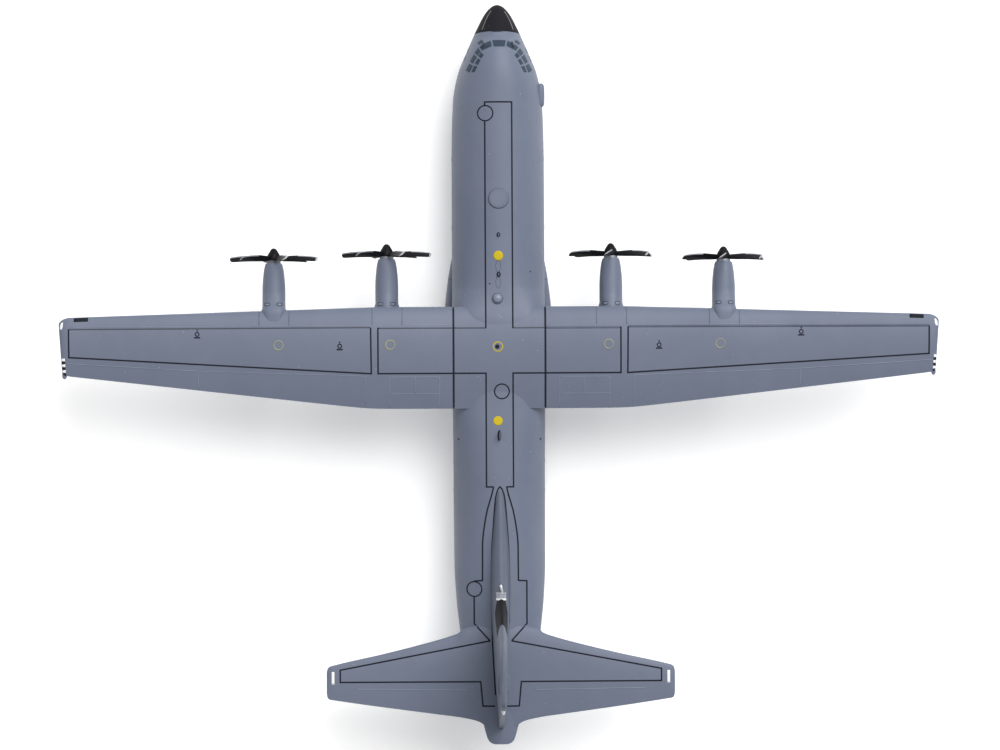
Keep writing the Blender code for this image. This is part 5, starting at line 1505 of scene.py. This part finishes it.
# Shares of the panel lines' width
FINE_SHARE, SPLIT_SHARE = 0.8, 0.9
DOOR_LINE_ROUNDING = 0.5
WING_LINES = (
    ([(99.9, 2.65), (69.5, 0.77), (69.4, -3.2)], 1.0),
    ([(FLAP_IN_X, FLAP_TOP_Y), (FLAP_IN_X, FLAP_REAR_Y)], 1.0),
    ([(FLAP_OUT_X, FLAP_TOP_Y), (FLAP_OUT_X, FLAP_REAR_Y)], 1.0),
    ([(FLAP_IN_X, FLAP_TOP_Y), (FLAP_OUT_X, FLAP_TOP_Y)], 1.0),
    ([(FLAP_IN_X, FLAP_MIDDLE_Y), (FLAP_OUT_X, FLAP_MIDDLE_Y)], 1.0),
    ([(FLAP_SPLIT_X, FLAP_MIDDLE_Y), (FLAP_SPLIT_X, FLAP_TOP_Y)], 1.0),
    ([(11.2, LEADING_LINE_Y), (98.5, 11.0)], FINE_SHARE),
    ([(31.0, -6.9), (31.0, -0.6), (69.5, 0.77)], FINE_SHARE),
    ([(33.6, -72.92), (7.7, -73.25)], 1.0),
)
# The fuselage's lines: those of the belly from below, and the others, (z, y), from the side
RAMP = [(-5.6, -22.5), (5.6, -22.5), (5.2, -40.0), (4.0, -58.0), (-4.0, -58.0), (-5.2, -40.0)]
NOSE_DOOR_LINE, BELLY_LINE = [(3.0, 62.0), (3.0, 65.6)], [(4.2, 20.0), (4.2, 58.0)]
BELLY_FRAMES, BELLY_FRAME_HALF = (58.0, 40.0, 20.0, -20.0), 6.0
REAR_DOOR = [(13.6, -25.2), (13.6, -29.4), (6.4, -29.4), (6.4, -25.2)]
CREW_DOOR = [(12.6, 62.4), (12.6, 66.2), (5.4, 66.2), (5.4, 62.4)]
CREW_DOOR_STEP = [(7.6, 62.4), (7.6, 66.2)]
FAIRING_LINES = [[(7.0, 16.5), (7.0, 27.0)], [(7.0, -1.5), (7.0, -18.0)]]
FAIRING_LINES += [[(4.6, y), (9.4, y)] for y in (22.0, -6.0, -12.0)]
SIDE_WINDOWS = ((12.3, 50.0, 0.55), (12.3, 34.0, 0.55), (12.3, -20.5, 0.55), (11.6, -27.3, 0.55))
CREW_DOOR_WINDOW = (11.2, 64.3, 0.5)


def lay_wing_lines(name, skin, towards, width):
    """The raised lines on top of the wings and the tailplane, or below them."""
    lines = Ink(skin, towards)
    for points, share in WING_LINES:
        lines.pair(points, width * share)
    # The raised lines take the lightened grey, a painted highlight on their ridges
    lines.done(name, "Raised line", 0.03)


class PLANE_OT_panel_lines(bpy.types.Operator):
    """Raised panel lines on the wings and tail, and the doors and ramp of the fuselage"""

    bl_idname = "plane.panel_lines"
    bl_label = "Panel lines"

    def execute(self, context):
        width = context.scene.plane_lines.panel_width / MM
        skin = skin_of(*TOP_PIECES)
        lay_wing_lines("raised_lines_top", skin, DOWN, width)
        splits = Ink(skin)
        for x in LEADING_SPLITS:
            splits.pair([(x, wing_plan(x)[0] - SPLIT_START), (x, LEADING_LINE_Y)], width * SPLIT_SHARE)
        splits.done("leading_edge_splits", "Worn ink")
        lay_wing_lines("raised_lines_below", skin, UP, width)
        belly = Ink(skin_of("fuselage_skin"), UP)
        belly.line(RAMP, width, closed=True)
        belly.line([RAMP[-1], RAMP[2]], width)
        belly.pair(NOSE_DOOR_LINE, width)
        belly.pair(BELLY_LINE, width * FINE_SHARE)
        for y in BELLY_FRAMES:
            belly.line([(-BELLY_FRAME_HALF, y), (BELLY_FRAME_HALF, y)], width * FINE_SHARE)
        belly.done("belly_lines", "Seam shade", 0.01)
        for side, name in SIDES:
            skin = skin_of("fuselage_skin", f"gear_fairing_{name}")
            door, glass = Ink(skin, (-side, 0, 0)), Ink(skin, (-side, 0, 0))
            door.line(rounded(REAR_DOOR, DOOR_LINE_ROUNDING), width, closed=True)
            for line in FAIRING_LINES:
                door.line(line, width)
            for window in SIDE_WINDOWS:
                glass.disc(*window)
            if name == "left":
                door.line(rounded(CREW_DOOR, DOOR_LINE_ROUNDING), width, closed=True)
                door.line(CREW_DOOR_STEP, width)
                glass.disc(*CREW_DOOR_WINDOW)
            door.done(f"door_lines_{name}", "Seam shade", 0.01)
            glass.done(f"side_windows_{name}", "Window print")
        return {"FINISHED"}


# Fittings, finer than their solids

HATCH_Y, BEACON_X, BEACON_Y = 40.4, -0.4, 17.2
FITTING_Z = hull_crown(40.0)
# Profiles round an axis, as (radius, along)
HATCH = [
    (0, 0.3), (1.86, 0.3), (1.9, 0.24), (1.98, 0.24), (2.02, 0.3), (2.2, 0.27), (2.3, 0.15), (2.3, -1.1),
    (0, -1.1),
]
BEACON = [
    (0, 1.2), (0.2, 1.19), (0.24, 1.13), (0.5, 1.1), (0.75, 1.0), (0.93, 0.82), (1.0, 0.6), (1.02, 0.45),
    (1.1, 0.43), (1.15, 0.36), (1.15, -0.5), (0, -0.5),
]
COLLAR = [
    (0, 0), (1.08, 0), (1.14, 0.05), (1.18, 0.2), (1.18, 0.38), (1.1, 0.44), (1.1, 1.4), (1.17, 1.46),
    (1.19, 1.62), (1.15, 1.78), (1.08, 1.85), (0, 1.85),
]
# Dark rings round the hatch and the beacon, painted shade where they meet the crown, as (radius, width,
# points)
HATCH_SHADE_RING, BEACON_SHADE_RING = (2.34, 0.12, 64), (1.22, 0.2, 48)
# Antennas, as (x, y, height, length), and how deep they sit
ANTENNAS = {"front": (-0.1, 32.0, 0.8, 1.0), "middle": (-0.1, 22.8, 0.8, 1.0), "rear": (0.0, -14.4, 2.0, 2.3)}
ANTENNA_DEPTH, ANTENNA_HALF_WIDTH = 0.6, 0.2
# The fairing beside the nose rounds off alike at both ends, as (distance from the end, share)
BULGE_X, BULGE_Z, BULGE_REAR_Y, BULGE_FRONT_Y = 10.0, 14.0, 62.0, 67.5
BULGE_HALF_WIDTH, BULGE_HALF_HEIGHT, BULGE_POWER = 0.97, 1.5, 2.6
BULGE_ENDS = ((0.0, 0.3), (0.04, 0.5), (0.15, 0.68), (0.35, 0.82), (0.7, 0.92), (1.2, 0.98), (1.9, 1.0))
# The pitots' stem and head, on the right, each from one end to the other
PITOT_RODS = (((3.45, 75.7, 18.65), (3.75, 75.7, 20.25)), ((3.82, 75.53, 20.29), (3.3, 76.85, 20.0)))
PITOT_RADIUS = 0.19
# The collar's front is white and its probe silver
COLLAR_PLACE, COLLAR_WHITE_Y, COLLAR_SILVER_Y = (0, -50.25, 31.0), -51.66, -50.2
PROBE, PROBE_RADIUS = ((0.34, -50.8, 31.0), (-0.1, -48.5, 31.1)), 0.27
# The fin's blisters, on the right, and its lamp, as (place, half sizes)
BLISTER_PLACE, BLISTER_SIZES = (0.75, -69.4, 56.0), (0.75, 2.6, 0.7)
LENS_PLACE, LENS_SIZES = (0, -75.6, 55.0), (0.4, 0.9, 0.5)
# The jet pipes: how far behind the lip and under the shaft they lie, and their sections, as
# (distance further back, half width, half height)
PIPE_BACK, PIPE_DROP = 22.5, 2.0
PIPE_SECTIONS = (
    (-2.3, 0.7, 0.2), (-1.6, 1.0, 0.5), (-0.8, 1.24, 0.74), (0.0, 1.35, 0.85), (0.8, 1.33, 0.83),
    (1.6, 1.3, 0.8), (2.6, 1.18, 0.75), (3.34, 1.06, 0.7), (3.4, 1.03, 0.67), (3.4, 0.97, 0.61),
    (3.3, 0.94, 0.58), (1.2, 0.86, 0.48),
)


def bulge_ring(y, share):
    """A section of the fairing beside the nose."""
    width, height = BULGE_HALF_WIDTH * share, BULGE_HALF_HEIGHT * share
    return power_ring(BULGE_X, BULGE_Z, width, height, height, BULGE_POWER, BULGE_POWER, y, 40)


class PLANE_OT_crown_fittings(bpy.types.Operator):
    """Hatch, beacon, antennas, side fairing and probes"""

    bl_idname = "plane.crown_fittings"
    bl_label = "Crown fittings"

    def execute(self, context):
        grey = ["Grey paint"]
        hatch = lathe(HATCH, 72, Vector((0, HATCH_Y, FITTING_Z)) * MM, UP)
        piece("crown_hatch_cover", hatch, grey, stands_for=["crown_hatch"])
        # Dark rings paint the shade round the hatch's rim and the beacon's foot
        shade = Ink(skin_of("fuselage_skin"))
        shade.ring(0, HATCH_Y, *HATCH_SHADE_RING)
        shade.ring(BEACON_X, BEACON_Y, *BEACON_SHADE_RING)
        shade.done("crown_fitting_seams", "Seam shade", 0.01)
        beacon = lathe(BEACON, 56, Vector((BEACON_X, BEACON_Y, FITTING_Z)) * MM, UP)
        # The beacon's cap takes the lightened grey, a painted highlight
        piece("crown_beacon_cap", beacon, ["Pale grey paint"], stands_for=["crown_beacon"])
        foot = FITTING_Z - ANTENNA_DEPTH
        for name, (x, y, height, length) in ANTENNAS.items():
            fin = blade_fin(x, y, foot, height + ANTENNA_DEPTH, length, ANTENNA_HALF_WIDTH)
            piece(f"blade_antenna_{name}", fin, grey, stands_for=[f"antenna_{name}"])
        rings = [bulge_ring(BULGE_FRONT_Y - back, share) for back, share in BULGE_ENDS]
        rings += [bulge_ring(BULGE_REAR_Y + ahead, share) for ahead, share in reversed(BULGE_ENDS)]
        piece("side_bulge", loft(rings), grey, stands_for=["side_fairing"])
        for side, name in SIDES:
            tube = bmesh.new()
            for ends in PITOT_RODS:
                rod(tube, *((side * x, y, z) for x, y, z in ends), PITOT_RADIUS)
            piece(f"pitot_tube_{name}", tidy(tube), ["Tinted metal"], stands_for=[f"pitot_{name}"])
        return {"FINISHED"}


class PLANE_OT_tail_fittings(bpy.types.Operator):
    """Collar and probe on the fin, its blisters and lamp, and the four jet pipes"""

    bl_idname = "plane.tail_fittings"
    bl_label = "Tail fittings"

    def execute(self, context):
        collar = turned(bmesh.new(), COLLAR, 48, Vector(COLLAR_PLACE) * MM, (0, -1, 0))
        for face in collar.faces:
            face.material_index = int(face.calc_center_median().y / MM < COLLAR_WHITE_Y)
        rod(collar, *PROBE, PROBE_RADIUS)
        for face in collar.faces:
            if face.calc_center_median().y / MM > COLLAR_SILVER_Y:
                face.material_index = 2
        piece("fin_collar", tidy(collar), ["Frosted collar", "White ink", "Silver"], stands_for=["fin_probe"])
        for side, name in SIDES:
            x, y, z = BLISTER_PLACE
            # The blisters take the fin's darkened grey, a painted shade
            piece(f"fin_bulge_{name}", bulge((side * x, y, z), BLISTER_SIZES), ["Fin paint"],
                  stands_for=[f"fin_blister_{name}"])
        lamp = bulge(LENS_PLACE, LENS_SIZES, 28, 18)
        piece("tail_lamp_lens", lamp, ["Lamp lens"], stands_for=["tail_lamp"])
        for number, (x, _, z) in enumerate(ENGINE_PLACES, 1):
            start = nacelle_front(number) - PIPE_BACK
            rings = [power_ring(x, z - PIPE_DROP, w, h, h, 2.0, 2.0, start - back, 40)
                     for back, w, h in PIPE_SECTIONS]
            piece(f"jet_pipe_{number}", loft(rings), ["Jet pipe metal"], stands_for=[f"exhaust_{number}"])
        return {"FINISHED"}


# Landing gear legs and doors

MAIN_LEG_X, MAIN_LEG_YS = 8.95, (4.95, 12.65)
MAIN_AXLE_X, MAIN_AXLE_Z, MAIN_AXLE_RADIUS = 11.45, 3.55, 0.45
# The beam over a pair of main wheels, as (half width, bottom, top, rounding), and each wheel's struts
# under it, as (bottom, top, radius)
MAIN_BEAM, MAIN_STRUTS = (0.5, 6.5, 7.7, 0.12), ((2.85, 7.45, 0.55), (4.6, 5.1, 0.66))
NOSE_LEG_Y, NOSE_AXLE_Z = 69.9, 2.48
# The nose leg's bars, as (start, end, radius, sides)
NOSE_BARS = (
    ((0, NOSE_LEG_Y, 1.63), (0, NOSE_LEG_Y, 7.55), 0.62, 36),
    ((0, NOSE_LEG_Y, 4.3), (0, NOSE_LEG_Y, 4.9), 0.74, 36),
    ((0, NOSE_LEG_Y, 4.1), (0, 67.3, 7.2), 0.3, 28),
    ((-0.5, NOSE_LEG_Y, 5.6), (0.5, NOSE_LEG_Y, 5.6), 0.85, 28),
)
# Doors, as (from x, to x, from y, to y, from z, to z), on the right
MAIN_DOOR, NOSE_DOOR = (12.0, 12.3, 1.6, 16.0, 2.0, 4.35), (2.65, 2.95, 66.5, 72.9, 2.0, 5.6)
DOOR_ROUNDING = 0.08
# One side of the nose wheels' rims, as (radius, along)
RIM_FACE = 2.19
NOSE_RIM = [
    (0, RIM_FACE - 0.2), (0.2, RIM_FACE - 0.16), (0.42, RIM_FACE - 0.2), (0.5, RIM_FACE - 0.48),
    (0.98, RIM_FACE - 0.52), (1.1, RIM_FACE - 0.42), (1.2, RIM_FACE - 0.04), (1.26, RIM_FACE),
    (1.37, RIM_FACE), (1.37, 0.91), (0.35, 0.91),
]


def door_box(side, near_x, far_x, rear, front, bottom, top):
    """A door's plate on one side."""
    left, right = sorted((side * near_x, side * far_x))
    return box_bm((left, rear, bottom), (right, front, top), DOOR_ROUNDING)


class PLANE_OT_gear_legs(bpy.types.Operator):
    """Struts, axles, rims and doors of the landing gear"""

    bl_idname = "plane.gear_legs"
    bl_label = "Gear legs and doors"

    def execute(self, context):
        rear_y, front_y = MAIN_LEG_YS
        half, bottom, top, rounding = MAIN_BEAM
        for side, name in SIDES:
            x = side * MAIN_LEG_X
            leg = box_bm((x - half, rear_y, bottom), (x + half, front_y, top), rounding)
            for y in MAIN_LEG_YS:
                for low, high, radius in MAIN_STRUTS:
                    rod(leg, (x, y, low), (x, y, high), radius)
                rod(leg, (x, y, MAIN_AXLE_Z), (side * MAIN_AXLE_X, y, MAIN_AXLE_Z), MAIN_AXLE_RADIUS)
            piece(f"main_leg_{name}", tidy(leg), ["Silver"], stands_for=[f"main_gear_leg_{name}"])
            for kind, sizes in (("main", MAIN_DOOR), ("nose", NOSE_DOOR)):
                piece(f"{kind}_door_{name}", door_box(side, *sizes), ["Grey paint"],
                      stands_for=[f"{kind}_gear_door_{name}"])
        leg = bmesh.new()
        for bar in NOSE_BARS:
            rod(leg, *bar)
        piece("nose_leg", tidy(leg), ["Silver"], stands_for=["nose_gear_leg"])
        rims = lathe(both_halves(NOSE_RIM), 56, Vector((0, NOSE_LEG_Y, NOSE_AXLE_Z)) * MM, ACROSS)
        piece("nose_rims", rims, ["Hub paint"], "nose_wheels", ["nose_axle"])
        return {"FINISHED"}


SLOT_FINISHES = {
    "grey_paint": "Grey paint", "grey_tail": "Grey paint", "black_paint": "Black paint",
    "bare_metal": "Silver", "tyre_rubber": "Tyre rubber", "hub_paint": "Hub paint", "clear_lamp": "Lamp lens",
}


class PLANE_OT_cast_details(bpy.types.Operator):
    """Paint on the solids themselves, by their slots"""

    bl_idname = "plane.cast_details"
    bl_label = "Cast details"

    def execute(self, context):
        slots = {entry["node"]: entry["material_slot"] for entry in frame["record"]["subparts"]}
        for name, obj in frame["nodes"].items():
            chosen = "Jet pipe metal" if name.startswith("exhaust") else SLOT_FINISHES[slots[name]]
            obj.data.materials.clear()
            obj.data.materials.append(bpy.data.materials[chosen])
        return {"FINISHED"}


# Stage

FLOOR_HALF, FLOOR_ROUGHNESS, FLOOR_GLOW, SKY_STRENGTH = 3.0, 0.9, 0.25, 0.37
# Lamps as (place, size, share of the key's power), in metres
LAMPS = {
    "key": ((0.48, 0.8, 1.2), 1.2, 1.0),
    "overhead": ((0.0, 0.0, 1.3), 0.9, 0.08),
    "left": ((-0.9, 0.1, 0.5), 0.7, 0.02),
}
# Where the camera stands over the model and what it looks at, in millimetres, and its roll
CAMERA_X, CAMERA_Y, AIM, CAMERA_ROLL = -16.14, -0.45, (0.16, -0.45, 20), math.radians(0.29)
SENSOR_WIDTH = 36.0


def add_to_scene(name, data):
    """A new object that holds the data, linked to the scene."""
    obj = bpy.data.objects.new(name, data)
    bpy.context.scene.collection.objects.link(obj)
    return obj


def camera_pose(height):
    """The camera's matrix at a height in metres."""
    place = Vector((CAMERA_X * MM, CAMERA_Y * MM, height))
    back = (place - Vector(AIM) * MM).normalized()
    right = Vector((math.sin(CAMERA_ROLL), math.cos(CAMERA_ROLL), 0)).cross(back).normalized()
    turn = Matrix((right, back.cross(right), back)).transposed()
    return Matrix.Translation(place) @ turn.to_4x4()


class PLANE_OT_stage(bpy.types.Operator):
    """Pale floor, soft lights and the overhead camera"""

    bl_idname = "plane.stage"
    bl_label = "Stage"

    def execute(self, context):
        stage = context.scene.plane_stage
        bm = bmesh.new()
        bmesh.ops.create_grid(bm, x_segments=1, y_segments=1, size=FLOOR_HALF)
        mesh = bpy.data.meshes.new("floor")
        bm.to_mesh(mesh)
        bm.free()
        add_to_scene("floor", mesh)
        paper = bpy.data.materials.new("Floor paper")
        paper.use_nodes = True
        values = paper.node_tree.nodes["Principled BSDF"].inputs
        values["Base Color"].default_value = tuple(stage.floor)
        values["Roughness"].default_value = FLOOR_ROUGHNESS
        values["Emission Color"].default_value = tuple(stage.floor)
        values["Emission Strength"].default_value = FLOOR_GLOW
        mesh.materials.append(paper)
        world = bpy.data.worlds.new("studio")
        world.use_nodes = True
        values = world.node_tree.nodes["Background"].inputs
        values["Color"].default_value = (1.0, 1.0, 1.0, 1.0)
        values["Strength"].default_value = SKY_STRENGTH
        context.scene.world = world
        for name, (place, size, share) in LAMPS.items():
            light = bpy.data.lights.new(name, "AREA")
            light.shape = "SQUARE"
            light.size = size
            light.energy = stage.key_power * share
            lamp = add_to_scene(name, light)
            lamp.location = place
            lamp.rotation_euler = Vector(place).to_track_quat("Z", "Y").to_euler()
        camera = add_to_scene("camera", bpy.data.cameras.new("camera"))
        camera.data.sensor_width = SENSOR_WIDTH
        camera.data.lens = stage.focal_length
        camera.matrix_world = camera_pose(stage.camera_height)
        context.scene.camera = camera
        context.scene.view_settings.view_transform = "Standard"
        return {"FINISHED"}


OPERATORS = (
    PLANE_OT_finishes, PLANE_OT_fuselage, PLANE_OT_radome, PLANE_OT_wings, PLANE_OT_nacelles,
    PLANE_OT_propellers, PLANE_OT_tail, PLANE_OT_gear_fairings, PLANE_OT_wheels, PLANE_OT_windows,
    PLANE_OT_crown_printing, PLANE_OT_wing_printing, PLANE_OT_panel_lines, PLANE_OT_crown_fittings,
    PLANE_OT_tail_fittings, PLANE_OT_gear_legs, PLANE_OT_cast_details, PLANE_OT_stage,
)


class PLANE_PT_panel(bpy.types.Panel):
    """Lists the steps that build the plane"""

    bl_label = "Transport plane"
    bl_idname = "PLANE_PT_panel"
    bl_space_type = "VIEW_3D"
    bl_region_type = "UI"
    bl_category = "Plane"

    def draw(self, context):
        for operator in OPERATORS:
            self.layout.operator(operator.bl_idname)
        for group in (context.scene.plane_paint, context.scene.plane_lines, context.scene.plane_stage):
            box = self.layout.box()
            for key in group.__annotations__:
                box.prop(group, key)


CLASSES = (PlanePaint, PlaneLines, PlaneStage) + OPERATORS + (PLANE_PT_panel,)


def register():
    """Makes the classes and their settings known."""
    for cls in CLASSES:
        bpy.utils.register_class(cls)
    bpy.types.Scene.plane_paint = bpy.props.PointerProperty(type=PlanePaint)
    bpy.types.Scene.plane_lines = bpy.props.PointerProperty(type=PlaneLines)
    bpy.types.Scene.plane_stage = bpy.props.PointerProperty(type=PlaneStage)


def unregister():
    """Takes the settings and the classes away again."""
    del bpy.types.Scene.plane_stage
    del bpy.types.Scene.plane_lines
    del bpy.types.Scene.plane_paint
    for cls in reversed(CLASSES):
        bpy.utils.unregister_class(cls)


def main():
    """Builds the plane and its stage."""
    register()
    for operator in OPERATORS:
        category, name = operator.bl_idname.split(".")
        getattr(getattr(bpy.ops, category), name)()
    bpy.context.view_layer.update()


if __name__ == "__main__":
    main()
